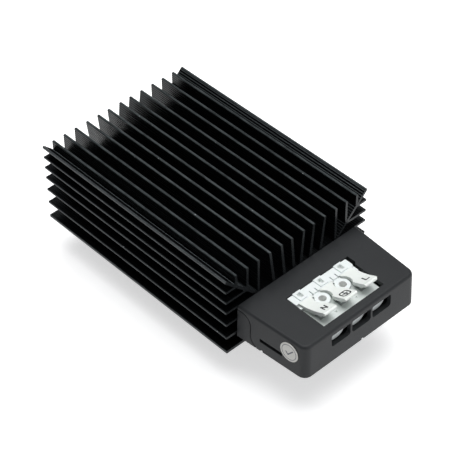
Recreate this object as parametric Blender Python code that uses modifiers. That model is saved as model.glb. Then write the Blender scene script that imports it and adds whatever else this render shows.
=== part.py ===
"""Enclosure heater: a finned profile with a connection box, on a clip for a 35 mm rail.

Metres, +Z up. X is the width, +Y runs from the connection box to the far end of the profile.
The pieces are modelled with Y = 0 at the joint of profile and box, and the whole is then moved
along Y, so that the origin lies under its middle, on the plane that the rail clip stands on.
"""
import math

import bmesh
import bpy
from mathutils import Matrix, Vector

# Finned profile, one extrusion
profile_width = 0.0700
profile_height = 0.0355
profile_length = 0.0998
plate_thickness = 0.0012
channel_half_width = 0.0125
channel_floor = 0.0075
channel_height = 0.0080
base_screw_offset = channel_half_width + 0.0023
block_half_width = base_screw_offset + 0.0022
block_height = channel_floor + channel_height + 0.0045
fin_thickness = 0.0010
fin_root_thickness = 0.0014
arm_thickness = 0.0012
arm_root_drop = 0.0027
arm_tip_drop = 0.0002
arm_clearance = 0.0015
top_fins = [(0.0030, 5.0), (0.00805, 6.3), (0.0136, 7.5)]
arm_fin_edge = 0.0051
arm_fin_pitch = 0.00535
side_fin_drop = 0.0055
side_fin_pitch = 0.0050
side_fins_on_block = [0.01405, 0.00765]

# Heater stack in the channel
fit = 0.0003
sleeve_wall = 0.0004
sleeve_margin = 0.0010
electrode_thickness = 0.0006
electrode_half_width = channel_half_width - 0.0015
stone_count = 4
stone_thickness = 0.0020
stone_spacing = 0.0025
tab_half_width = 0.0024
tab_reach = 0.0055
tab_offset = 0.0060
wedge_taper = 0.0002
plug_length = 0.0040

# Connection box
box_bottom = 0.00605
box_height = 0.01475
box_top = box_bottom + box_height
box_rear_half = 0.02975
box_front_half = 0.0275
box_draft = 0.0004
box_corner_radius = 0.0030
box_edge_radius = 0.0012
box_wall = 0.0018
box_front_margin = 0.0022
seam_height = box_top - 0.00205
seam_depth = 0.0063
seam_upper_radius = 0.0042
seam_lower_radius = 0.0045
seam_end_share = 0.6
seam_gap = 0.00035
tab_thickness = 0.0012
notch_width = 0.0011
notch_height = 0.0006
notch_depth = 0.0009
side_notch_distance = 0.0118
front_notch_place = 0.0008
entry_half_width = electrode_half_width + 0.0005

# Release levers, across the terminal
pole_pitch = 0.01015
lever_width = 0.00615
lever_pin_radius = 0.0004
lever_pin_reach = 0.0008
cheek_thickness = 0.000975
cheek_setback = 0.0001

# Terminal, distances in front of the profile
terminal_shift = -0.0002
terminal_half_width = pole_pitch + lever_width / 2 + fit + cheek_thickness
terminal_rear = 0.0080
bar_rear = terminal_rear + 0.0017
bar_depth = 0.0045
bar_front = bar_rear + bar_depth
ledge_length = 0.0137
ledge_front = bar_front + ledge_length
funnel_reach = 0.0016
funnel_front = ledge_front + funnel_reach
collar_distance = bar_front + 0.0035
box_length = funnel_front + box_front_margin

# Terminal, heights above the underside of the profile
bar_height = box_top - 0.0002
ledge_height = bar_height - 0.0020
collar_height = bar_height - 0.0004
terminal_bottom = ledge_height - 0.0064
funnel_height = ledge_height - 0.0016
wire_hole_height = funnel_height - 0.0003
pocket_floor = 0.0010
pocket_bottom = terminal_bottom + pocket_floor
pocket_roof = 0.0013

# Terminal, its details
bar_corner_radius = 0.0012
frame_width = 0.0036
frame_length = 0.0042
frame_rise = 0.0004
frame_hole = 0.0018
frame_hole_depth = 0.0011
frame_setback = 0.0003
root_slit_width = 0.0004
root_slit_length = 0.0019
root_slit_offset = 0.00125
collar_radius = 0.00285
collar_hole_radius = 0.0015
funnel_radius = 0.0043
wire_hole_radius = 0.0017
pocket_half_width = 0.0023
pocket_rear = bar_rear + 0.0009
pocket_front = ledge_front - 0.0021
tail_slit_height = 0.0015
bearing_drop = 0.0001
bearing_front = 0.0011
marker_width = 0.0008
marker_depth = 0.0005
marker_setback = 0.0034

# Openings in the box round the terminal
opening_play = 0.0003
opening_rear = bar_rear - opening_play
opening_front = ledge_front + opening_play / 2
opening_left = terminal_half_width - terminal_shift + opening_play
opening_right = terminal_half_width + terminal_shift + 2 * opening_play
opening_relief = 0.0009
window_bar = 0.00085
window_width = pole_pitch - window_bar
window_top = box_top - 0.0024
window_bottom = window_top - 0.0053
window_radius = 0.0012
slot_front = box_length - 0.0105
slot_rear = slot_front - 0.0103
slot_bottom = 0.0104
slot_top = slot_bottom + 0.0015

# Release levers, along their length
lever_hinge_distance = bar_front + 0.0011
lever_hinge_height = ledge_height + 0.0005
lever_root_height = bar_height + 0.0001
lever_root_bottom = ledge_height + 0.0004
lever_root_length = 0.0016
lever_root_blend = 0.0024
lever_front = ledge_front - 0.0009
lever_tip_lift = 0.00125
lever_tip_curl = 0.0032
lever_thickness = 0.0015
lever_nose_radius = 0.0010
collar_clearance = 0.00065
foot_distance = lever_front - 0.00525
foot_length = 0.0031
foot_width = 0.0028
foot_bottom = ledge_height + 0.0008
foot_height = 0.0024
foot_play = 0.00038

# Contacts
contact_width = 2 * pocket_half_width - 0.0010
contact_thickness = 0.0008
contact_tail = terminal_rear - 0.0008
spring_width = contact_width - 0.0004
spring_thickness = 0.0004
spring_loop_radius = 0.0011
spring_loop_play = 0.0010
spring_end_play = 0.0014
spring_reach = 0.0012
spring_hook = 0.0014

# Inner leads
lead_radius = 0.0009

# Fasteners
screw_radius = 0.0015
screw_head_radius = 0.0029
screw_head_height = 0.0018
recess_width = 0.0007
base_screw_height = 0.0112
base_screw_length = 0.0120
lug_thickness = 0.0007
lug_tongue = 0.0010
lug_reach = 0.0055
clip_screw_spacing = 0.0180
clip_screw_length = 0.0060

# Rail bracket and latch
sheet = 0.0012
sheet_bend_radius = 0.0016
bracket_half_width = 0.0110
rail_width = 0.0350
rail_thickness = 0.0010
rail_play = 0.0003
bracket_front = rail_width / 2 + 0.0020
bracket_rear = rail_width / 2 + 0.0040
seat_depth = 0.0108
hook_depth = 0.0024
hook_reach = 0.0018
hook_slant = 0.0012
latch_half_width = 0.0075
latch_thickness = 0.0010
latch_tail = 0.0050
latch_tab_reach = 0.0060
clip_depth = seat_depth + rail_thickness + rail_play + hook_depth

# Sticker on the left side of the box
sticker_radius = 0.0040
sticker_thickness = 0.0002
sticker_gap = 0.0001
sticker_distance = box_length - 0.0071
sticker_height = 0.0150

profile_base = clip_depth
terminal_poles = [-1, 0, 1]
pole_names = {-1: "neutral", 0: "earth", 1: "live"}
assembly = None
cutters = None


def clear_scene():
    for obj in list(bpy.data.objects):
        bpy.data.objects.remove(obj, do_unlink=True)


def new_collection(name):
    collection = bpy.data.collections.new(name)
    bpy.context.scene.collection.children.link(collection)
    return collection


def new_material(name, colour, roughness, metallic=0.0):
    material = bpy.data.materials.new(name)
    material.use_nodes = True
    shader = material.node_tree.nodes["Principled BSDF"]
    shader.inputs["Base Color"].default_value = (*colour, 1.0)
    shader.inputs["Roughness"].default_value = roughness
    shader.inputs["Metallic"].default_value = metallic
    return material


def new_object(name, mesh, material):
    obj = bpy.data.objects.new(name, mesh)
    assembly.objects.link(obj)
    if material:
        mesh.materials.append(material)
    mesh.shade_smooth()
    mesh.set_sharp_from_angle(angle=math.radians(35))
    return obj


def box(name, x, y, z, material=None):
    """A block between two values along each axis."""
    bm = bmesh.new()
    bmesh.ops.create_cube(bm, size=1.0)
    size = [hi - lo for lo, hi in (sorted(x), sorted(y), sorted(z))]
    centre = [sum(pair) / 2 for pair in (x, y, z)]
    bmesh.ops.scale(bm, vec=size, verts=bm.verts)
    bmesh.ops.translate(bm, vec=centre, verts=bm.verts)
    mesh = bpy.data.meshes.new(name)
    bm.to_mesh(mesh)
    bm.free()
    return new_object(name, mesh, material)


def cylinder(name, centre, axis, radius, length, material=None, segments=32):
    """A cylinder centred on a point, along X, Y or Z."""
    turn = {"X": Matrix.Rotation(math.pi / 2, 4, "Y"), "Y": Matrix.Rotation(math.pi / 2, 4, "X"),
            "Z": Matrix.Identity(4)}[axis]
    bm = bmesh.new()
    bmesh.ops.create_cone(bm, cap_ends=True, segments=segments, radius1=radius, radius2=radius,
                          depth=length, matrix=Matrix.Translation(centre) @ turn)
    mesh = bpy.data.meshes.new(name)
    bm.to_mesh(mesh)
    bm.free()
    return new_object(name, mesh, material)


def mesh_from_curve(name, curve_object, material):
    """The curve's solid as a mesh object, with its caps welded on."""
    bpy.context.view_layer.update()
    graph = bpy.context.evaluated_depsgraph_get()
    mesh = bpy.data.meshes.new_from_object(curve_object.evaluated_get(graph))
    mesh.name = name
    matrix = curve_object.matrix_world.copy()
    bpy.data.objects.remove(curve_object, do_unlink=True)
    bm = bmesh.new()
    bm.from_mesh(mesh)
    bmesh.ops.remove_doubles(bm, verts=bm.verts, dist=0.000001)
    bmesh.ops.transform(bm, matrix=matrix, verts=bm.verts)
    bmesh.ops.recalc_face_normals(bm, faces=bm.faces)
    bm.to_mesh(mesh)
    bm.free()
    mesh.materials.clear()
    return new_object(name, mesh, material)


def prism(name, outlines, axis, start, end, material=None):
    """Flat outlines extruded along an axis; outlines inside the first one are holes.

    The outline's two coordinates are (x, z) along Y, (y, z) along X and (x, y) along Z.
    """
    curve = bpy.data.curves.new(name, "CURVE")
    curve.dimensions = "2D"
    curve.fill_mode = "BOTH"
    curve.extrude = abs(end - start) / 2
    for outline in outlines:
        spline = curve.splines.new("POLY")
        spline.points.add(len(outline) - 1)
        for point, (u, v) in zip(spline.points, outline):
            point.co = (u, v, 0.0, 1.0)
        spline.use_cyclic_u = True
    middle = (start + end) / 2
    obj = bpy.data.objects.new(name, curve)
    assembly.objects.link(obj)
    if axis == "Y":
        obj.matrix_world = Matrix(((1, 0, 0, 0), (0, 0, -1, middle), (0, 1, 0, 0), (0, 0, 0, 1)))
    elif axis == "X":
        obj.matrix_world = Matrix(((0, 0, 1, middle), (1, 0, 0, 0), (0, 1, 0, 0), (0, 0, 0, 1)))
    else:
        obj.matrix_world = Matrix.Translation((0, 0, middle))
    return mesh_from_curve(name, obj, material)


def rounded(corners, steps=5):
    """An outline from (point, radius) corners, with an arc at each radius above zero."""
    points = []
    count = len(corners)
    for index, (corner, radius) in enumerate(corners):
        here = Vector(corner)
        if radius <= 0:
            points.append(tuple(here))
            continue
        before = (Vector(corners[index - 1][0]) - here).normalized()
        after = (Vector(corners[(index + 1) % count][0]) - here).normalized()
        half_angle = before.angle(after) / 2
        centre = here + (before + after).normalized() * radius / math.sin(half_angle)
        first = here + before * radius / math.tan(half_angle) - centre
        last = here + after * radius / math.tan(half_angle) - centre
        sweep = first.angle_signed(last)
        for step in range(steps + 1):
            turned = Matrix.Rotation(-sweep * step / steps, 2) @ first
            points.append(tuple(centre + turned))
    return points


def strip_outline(path, thickness):
    """The closed outline of a bent strip: its middle line moved half a thickness to each side."""
    left, right = [], []
    for index, point in enumerate(path):
        here = Vector(point)
        ahead = (Vector(path[min(index + 1, len(path) - 1)]) - here)
        behind = (here - Vector(path[max(index - 1, 0)]))
        ahead = ahead.normalized() if ahead.length > 0 else behind.normalized()
        behind = behind.normalized() if behind.length > 0 else ahead
        along = (ahead + behind).normalized()
        reach = thickness / 2 / max(0.3, along.dot(ahead))
        normal = Vector((-along.y, along.x)) * reach
        left.append(tuple(here + normal))
        right.append(tuple(here - normal))
    return left + right[::-1]


def open_path(corners, steps=5):
    """A path through (point, radius) corners with rounded bends; the two ends stay sharp."""
    ends = [(corners[0][0], 0)] + list(corners[1:-1]) + [(corners[-1][0], 0)]
    return rounded(ends, steps)


def turned(name, profile, location, axis, material):
    """A piece turned from (radius, height) points, top to bottom; the axis names its upward side."""
    mesh = bpy.data.meshes.new(name)
    edges = [(i, i + 1) for i in range(len(profile) - 1)]
    mesh.from_pydata([(radius, 0.0, height) for radius, height in profile], edges, [])
    obj = new_object(name, mesh, material)
    screw = obj.modifiers.new("turn", "SCREW")
    screw.steps = 24
    screw.render_steps = 24
    screw.use_merge_vertices = True
    screw.merge_threshold = 0.00001
    screw.use_smooth_shade = True
    if axis == "-Y":
        obj.rotation_euler = (math.pi / 2, 0, 0)
    elif axis == "-Z":
        obj.rotation_euler = (math.pi, 0, 0)
    obj.location = location
    return obj


def hide_as_cutter(tool):
    if tool.name in assembly.objects:
        assembly.objects.unlink(tool)
        cutters.objects.link(tool)
    tool.hide_render = True
    tool.display_type = "WIRE"


def combine(target, tool, operation, solver="EXACT"):
    modifier = target.modifiers.new(tool.name, "BOOLEAN")
    modifier.operation = operation
    modifier.solver = solver
    modifier.object = tool
    hide_as_cutter(tool)


def cut(target, tool):
    combine(target, tool, "DIFFERENCE")


def fuse(target, tool):
    combine(target, tool, "UNION")


def keep_inside(target, tool):
    combine(target, tool, "INTERSECT")


def make_materials():
    return {
        "anodised": new_material("black_anodised_aluminium", (0.012, 0.013, 0.014), 0.42, 0.6),
        "plastic": new_material("grey_polyamide", (0.045, 0.047, 0.050), 0.55),
        "white": new_material("white_polyamide", (0.80, 0.83, 0.83), 0.40),
        "steel": new_material("zinc_plated_steel", (0.62, 0.63, 0.64), 0.32, 1.0),
        "spring": new_material("spring_steel", (0.48, 0.49, 0.50), 0.28, 1.0),
        "copper": new_material("tinned_copper", (0.70, 0.68, 0.62), 0.30, 1.0),
        "ceramic": new_material("ptc_ceramic", (0.10, 0.09, 0.085), 0.65),
        "film": new_material("polyimide_film", (0.55, 0.30, 0.06), 0.35),
        "aluminium": new_material("bare_aluminium", (0.78, 0.79, 0.80), 0.35, 1.0),
        "silicone": new_material("silicone", (0.62, 0.18, 0.12), 0.60),
        "blue": new_material("blue_silicone", (0.05, 0.16, 0.50), 0.55),
        "brown": new_material("brown_silicone", (0.20, 0.09, 0.04), 0.55),
        "green": new_material("green_silicone", (0.10, 0.42, 0.10), 0.55),
        "paper": new_material("pale_label", (0.78, 0.78, 0.74), 0.60),
    }


def fin_finger(root, tip, root_thickness, tip_thickness):
    """The four points of one fin in the section, in the order that goes out and back."""
    root, tip = Vector(root), Vector(tip)
    along = (tip - root).normalized()
    side = Vector((along.y, -along.x))
    return [tuple(root + side * root_thickness / 2), tuple(tip + side * tip_thickness / 2),
            tuple(tip - side * tip_thickness / 2), tuple(root - side * root_thickness / 2)]


def arm_line(side):
    """One edge of the corner arm as (height at the block, slope); side 1 is its upper edge."""
    root_height = block_height - arm_root_drop
    slope = (profile_height - arm_tip_drop - root_height) / (profile_width / 2 - block_half_width)
    return root_height + side * arm_thickness / 2 * math.hypot(1, slope), slope


def arm_height(place, side):
    height, slope = arm_line(side)
    return height + slope * (place - block_half_width)


def arm_place(level, side):
    height, slope = arm_line(side)
    return block_half_width + (level - height) / slope


def fins_from(first, pitch, last):
    """Places from the first one inward at a pitch, as many as lie outside the last one."""
    count = int((first - last) / pitch) + 1
    return [first - pitch * number for number in range(count)]


def profile_half_section():
    """The right half of the section, from the bottom plate up to the middle of the block's top."""
    half = profile_width / 2
    points = [(half, 0.0), (half, plate_thickness), (block_half_width, plate_thickness)]
    for height in reversed(side_fins_on_block):
        points += fin_finger((block_half_width, height), (half, height), fin_root_thickness, fin_thickness)
    points.append((block_half_width, arm_height(block_half_width, -1)))
    lowest = block_height - arm_root_drop + arm_clearance
    for height in reversed(fins_from(profile_height - side_fin_drop, side_fin_pitch, lowest)):
        low = height - fin_thickness / 2
        high = height + fin_thickness / 2
        points += [(arm_place(low, -1), low), (half, low), (half, high), (arm_place(high, -1), high)]
    points.append((half, arm_height(half, -1)))
    points.append((half, profile_height))
    points.append((arm_place(profile_height, 1), profile_height))
    for place in fins_from(half - arm_fin_edge, arm_fin_pitch, block_half_width + arm_clearance):
        out = place + fin_thickness / 2
        inner = place - fin_thickness / 2
        points += [(out, max(block_height, arm_height(out, 1))), (out, profile_height),
                   (inner, profile_height), (inner, max(block_height, arm_height(inner, 1)))]
    foot = arm_place(block_height, 1)
    if foot < points[-1][0]:
        points.append((foot, block_height))
    rise = profile_height - block_height
    for place, lean in reversed(top_fins):
        root = place - rise * math.tan(math.radians(lean))
        width = fin_root_thickness
        points += [(root + width / 2, block_height), (place + fin_thickness / 2, profile_height),
                   (place - fin_thickness / 2, profile_height), (root - width / 2, block_height)]
    return points


def lifted(points):
    return [(u, v + profile_base) for u, v in points]


def circle(u, v, radius, count=20):
    return [(u + radius * math.cos(2 * math.pi * i / count), v + radius * math.sin(2 * math.pi * i / count))
            for i in range(count)]


def make_profile(materials):
    half = profile_half_section()
    section = half + [(-u, v) for u, v in reversed(half)]
    channel = [(-channel_half_width, channel_floor), (channel_half_width, channel_floor),
               (channel_half_width, channel_floor + channel_height),
               (-channel_half_width, channel_floor + channel_height)]
    ports = [circle(side * base_screw_offset, base_screw_height, screw_radius + fit) for side in (-1, 1)]
    outlines = [lifted(section), lifted(channel)] + [lifted(port) for port in ports]
    profile = prism("finned_profile", outlines, "Y", 0.0, profile_length, materials["anodised"])
    for number, place in enumerate(clip_screw_places()):
        depth = clip_screw_length
        hole = cylinder(f"clip_screw_hole_{number}", (0, place, profile_base + depth / 2 - fit), "Z",
                        screw_radius + fit, depth, segments=20)
        combine(profile, hole, "DIFFERENCE", solver="MANIFOLD")
    return profile


def clip_screw_places():
    middle = profile_length / 2
    return [middle - clip_screw_spacing / 2, middle + clip_screw_spacing / 2]


def stack_levels():
    """Heights of the layers in the channel, from its floor up."""
    levels = {}
    height = profile_base + channel_floor + fit
    levels["sleeve_bottom"] = height
    height += sleeve_wall + fit
    levels["lower"] = height
    height += electrode_thickness + fit
    levels["stone"] = height
    height += stone_thickness + fit
    levels["upper"] = height
    height += electrode_thickness + fit
    levels["sleeve_inner_top"] = height
    levels["sleeve_top"] = height + sleeve_wall
    levels["wedge"] = height + sleeve_wall + fit
    levels["channel_top"] = profile_base + channel_floor + channel_height
    return levels


def make_heater_stack(materials):
    levels = stack_levels()
    rear = profile_length - plug_length - fit
    outer = channel_half_width - fit
    inner = outer - sleeve_wall
    sleeve = prism("insulating_sleeve", [
        [(-outer, levels["sleeve_bottom"]), (outer, levels["sleeve_bottom"]),
         (outer, levels["sleeve_top"]), (-outer, levels["sleeve_top"])],
        [(-inner, levels["sleeve_bottom"] + sleeve_wall), (inner, levels["sleeve_bottom"] + sleeve_wall),
         (inner, levels["sleeve_inner_top"]), (-inner, levels["sleeve_inner_top"])],
    ], "Y", sleeve_margin, rear, materials["film"])
    for name, side in (("lower", -1), ("upper", 1)):
        bottom = levels[name]
        top = bottom + electrode_thickness
        strip = box(f"{name}_electrode", (-electrode_half_width, electrode_half_width),
                    (2 * sleeve_margin, rear - sleeve_margin), (bottom, top), materials["aluminium"])
        middle = side * tab_offset
        tab = box(f"{name}_tab", (middle - tab_half_width, middle + tab_half_width),
                  (-tab_reach, 3 * sleeve_margin), (bottom, top))
        fuse(strip, tab)
    room = rear - 6 * sleeve_margin
    stone_length = (room - (stone_count - 1) * stone_spacing) / stone_count
    pitch = stone_length + stone_spacing
    for number in range(stone_count):
        start = 3 * sleeve_margin + number * pitch
        box(f"ptc_stone_{number + 1}", (-electrode_half_width + fit, electrode_half_width - fit),
            (start, start + stone_length), (levels["stone"], levels["stone"] + stone_thickness),
            materials["ceramic"])
    top = levels["channel_top"] - fit
    prism("pressure_wedge", [[(sleeve_margin, levels["wedge"]), (rear, levels["wedge"]),
                              (rear, top), (sleeve_margin, top - wedge_taper)]],
          "X", -outer, outer, materials["aluminium"])
    box("channel_plug", (-outer, outer), (profile_length - plug_length, profile_length - fit),
        (levels["sleeve_bottom"], top), materials["silicone"])
    return sleeve


def box_half_width(distance, height):
    """Half the width of the connection box at a distance in front of the profile, and at a height."""
    share = distance / box_length
    top = box_rear_half + (box_front_half - box_rear_half) * share
    return top + box_draft * (box_top - height) / (box_top - box_bottom)


def box_form(name, rear, inset, bottom, top, corner, edge, material=None):
    """The box's tapered and drafted form, moved inward all round by an inset."""
    bm = bmesh.new()
    bmesh.ops.create_cube(bm, size=2.0)
    for vertex in bm.verts:
        height = top if vertex.co.z > 0 else bottom
        lean = box_draft * (box_top - height) / (box_top - box_bottom)
        front = box_length + lean - inset
        distance = rear if vertex.co.y > 0 else front
        half = box_half_width(distance, height) - inset
        vertex.co = (math.copysign(half, vertex.co.x), -distance, profile_base + height)
    uprights = [e for e in bm.edges if abs(e.verts[0].co.z - e.verts[1].co.z) > 0.5 * (top - bottom)
                and e.verts[0].co.y < -box_length / 2]
    if corner > 0:
        bmesh.ops.bevel(bm, geom=uprights, offset=corner, segments=6, profile=0.5, affect="EDGES")
    if edge > 0:
        level = profile_base + top - 0.00001
        rim = [e for e in bm.edges if all(v.co.z > level for v in e.verts)
               and not all(v.co.y > -rear - 0.00001 for v in e.verts)
               and len({round(v.co.x, 6) for v in e.verts} | {round(v.co.y, 6) for v in e.verts}) > 1
               and any(abs(f.normal.z) < 0.5 for f in e.link_faces)]
        bmesh.ops.bevel(bm, geom=rim, offset=edge, segments=3, profile=0.5, affect="EDGES")
    bmesh.ops.recalc_face_normals(bm, faces=bm.faces)
    mesh = bpy.data.meshes.new(name)
    bm.to_mesh(mesh)
    bm.free()
    return new_object(name, mesh, material)


def seam_outline(gap):
    """The region of the side view behind and below the S-shaped seam, grown by a gap."""
    far = 2 * box_wall
    low = box_bottom - far
    foot = seam_depth + seam_lower_radius
    end = seam_depth + seam_lower_radius * seam_end_share + gap
    edge = rounded([
        ((far, seam_height + gap), 0),
        ((-seam_depth - gap, seam_height + gap), seam_upper_radius + gap),
        ((-seam_depth - gap, box_bottom + gap), seam_lower_radius - gap),
        ((-foot, box_bottom + gap), 0),
    ], steps=10)
    kept = [point for point in edge if point[0] > -end + gap / 4]
    drop = math.sqrt((seam_lower_radius - gap) ** 2 - (foot - end) ** 2)
    tip = box_bottom + seam_lower_radius - drop
    return lifted([(far, low)] + kept + [(-end, tip), (-end, low)])


def make_cover(materials):
    reach = profile_width
    far = 0.002
    cover = box_form("connection_cover", fit, 0.0, box_bottom, box_top, box_corner_radius,
                     box_edge_radius, materials["plastic"])
    cavity = box_form("cover_cavity", -far, box_wall, box_bottom - far, box_top - box_wall,
                      box_corner_radius - box_wall, 0.0)
    cut(cover, cavity)
    cut(cover, prism("cover_seam", [seam_outline(seam_gap)], "X", -reach, reach))
    opening = [(-opening_left, -opening_front), (opening_right, -opening_front),
               (opening_right, -bar_front), (opening_right + opening_relief, -bar_front + opening_relief),
               (opening_right + opening_relief, -opening_rear), (-opening_left, -opening_rear)]
    cut(cover, prism("terminal_opening", [opening], "Z", profile_base + box_top - 2 * box_wall,
                     profile_base + box_top + far))
    for pole in terminal_poles:
        middle = pole * pole_pitch
        left, right = middle - window_width / 2, middle + window_width / 2
        frame = lifted(rounded([((left, window_bottom), window_radius),
                                ((right, window_bottom), window_radius),
                                ((right, window_top), window_radius / 2),
                                ((left, window_top), window_radius / 2)], steps=4))
        cut(cover, prism(f"wire_window_{pole_names[pole]}", [frame], "Y", -box_length - far,
                         -box_length + box_wall + far / 2))
    for name, side in (("left", -1), ("right", 1)):
        wall = box_half_width(slot_rear, slot_bottom)
        cut(cover, box(f"latch_slot_{name}", (side * (wall - 2 * box_wall), side * (wall + far)),
                       (-slot_front, -slot_rear), (profile_base + slot_bottom, profile_base + slot_top)))
    low = (profile_base + box_bottom - far, profile_base + box_bottom + notch_height)
    wall = box_half_width(side_notch_distance, box_bottom)
    cut(cover, box("side_notch", (-wall - far, -wall + notch_depth),
                   (-side_notch_distance - notch_width / 2, -side_notch_distance + notch_width / 2), low))
    cut(cover, box("front_notch", (front_notch_place - notch_width / 2, front_notch_place + notch_width / 2),
                   (-box_length - box_draft - far, -box_length - box_draft + notch_depth), low))
    return cover


def make_base(materials):
    far = 0.002
    reach = profile_width
    floor_top = box_bottom + box_wall
    base = box_form("connection_base", fit, 0.0, box_bottom, box_top, box_corner_radius, 0.0,
                    materials["plastic"])
    keep_inside(base, prism("base_seam", [seam_outline(0.0)], "X", -reach, reach))
    cut(base, box_form("base_cavity", fit + box_wall, box_wall, floor_top, box_top + far, 0.0, 0.0))
    plate = box_form("base_floor", seam_depth / 2, box_wall + fit, box_bottom, floor_top,
                     box_corner_radius - box_wall, 0.0)
    fuse(base, plate)
    levels = stack_levels()
    cut(base, box("tab_entry", (-entry_half_width, entry_half_width), (-fit - 2 * box_wall, far),
                  (levels["lower"] - 2 * fit, levels["upper"] + electrode_thickness + 2 * fit)))
    for name, side in (("left", -1), ("right", 1)):
        fuse(base, latch_tab(name, side, floor_top))
        centre = (side * base_screw_offset, -fit - box_wall / 2, profile_base + base_screw_height)
        cut(base, cylinder(f"base_screw_hole_{name}", centre, "Y", screw_radius + fit, 2 * box_wall + far,
                           segments=20))
        place = (terminal_shift + side * pole_pitch / 2, -collar_distance)
        post_top = terminal_bottom - fit
        post = cylinder(f"terminal_post_{name}",
                        (*place, profile_base + (floor_top + post_top) / 2 - fit / 2), "Z",
                        collar_radius, post_top - floor_top + fit, segments=24)
        fuse(base, post)
        peg_top = collar_height - 2 * collar_radius
        peg = cylinder(f"terminal_peg_{name}", (*place, profile_base + (floor_top + peg_top) / 2), "Z",
                       collar_hole_radius - fit, peg_top - floor_top, segments=20)
        fuse(base, peg)
    return base


def latch_tab(name, side, floor_top):
    """A springy tab that stands on the floor beside the cover's wall, with a nib in its slot."""
    rear, front = slot_rear + 2 * fit, slot_front - 2 * fit
    outer = [box_half_width(d, slot_bottom) - box_wall - fit for d in (rear, front)]
    plan = [(side * (outer[0] - tab_thickness), -rear), (side * outer[0], -rear),
            (side * outer[1], -front), (side * (outer[1] - tab_thickness), -front)]
    if side < 0:
        plan.reverse()
    tab = prism(f"latch_tab_{name}", [plan], "Z", profile_base + floor_top - box_wall / 2,
                profile_base + slot_top)
    reach = box_wall / 2 + fit
    nib_plan = [(side * (outer[0] - fit), -rear), (side * (outer[0] + reach), -rear),
                (side * (outer[1] + reach), -front), (side * (outer[1] - fit), -front)]
    if side < 0:
        nib_plan.reverse()
    nib = prism(f"latch_nib_{name}", [nib_plan], "Z", profile_base + slot_bottom + fit,
                profile_base + slot_top - fit)
    fuse(tab, nib)
    return tab


def pole_place(pole):
    return terminal_shift + pole * pole_pitch


def collar_places():
    return [pole_place(-0.5), pole_place(0.5)]


def make_terminal_body(materials):
    left, right = terminal_shift - terminal_half_width, terminal_shift + terminal_half_width
    z = profile_base
    body = box("terminal_block", (left, right), (-ledge_front, -terminal_rear),
               (z + terminal_bottom, z + ledge_height), materials["white"])
    bearing = (-lever_hinge_distance - bearing_front, -bar_front + fit)
    bearing_top = z + collar_height - bearing_drop
    bar_plan = rounded([((left, -bar_rear), 0), ((left, -bar_front), 0),
                        ((right, -bar_front), bar_corner_radius),
                        ((right, -bar_rear), bar_corner_radius / 3)])
    fuse(body, prism("terminal_bar", [bar_plan], "Z", z + ledge_height - fit, z + bar_height))
    middle = -(bar_rear + bar_front) / 2 + frame_setback
    for pole in terminal_poles:
        name = pole_names[pole]
        centre = pole_place(pole)
        fuse(body, box(f"test_frame_{name}", (centre - frame_width / 2, centre + frame_width / 2),
                       (middle - frame_length / 2, middle + frame_length / 2),
                       (z + bar_height - fit, z + bar_height + frame_rise)))
        lobe = (centre, -(ledge_front + funnel_front) / 2 + fit / 2, z + funnel_height)
        fuse(body, cylinder(f"funnel_{name}", lobe, "Y", funnel_radius, funnel_front - ledge_front + fit,
                            segments=40))
        cut(body, box(f"funnel_top_{name}", (centre - funnel_radius, centre + funnel_radius),
                      (-funnel_front - fit, -ledge_front + 2 * fit),
                      (z + ledge_height, z + funnel_height + funnel_radius + fit)))
    for number, place in enumerate(collar_places()):
        post = (place, -collar_distance, z + (terminal_bottom + collar_height) / 2 + fit)
        fuse(body, cylinder(f"collar_{number}", post, "Z", collar_radius,
                            collar_height - terminal_bottom - 2 * fit, segments=40))
        web = pole_pitch - lever_width - 2 * fit
        fuse(body, box(f"hinge_web_{number}", (place - web / 2, place + web / 2), bearing,
                       (z + ledge_height - fit, bearing_top)))
    for side in (-1, 1):
        end = terminal_shift + side * terminal_half_width
        sides = (end - side * cheek_setback, end - side * cheek_thickness)
        fuse(body, box(f"hinge_cheek_{side}", sides, bearing, (z + ledge_height - fit, bearing_top)))
    cut_terminal_body(body, left, right)
    return body


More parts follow.
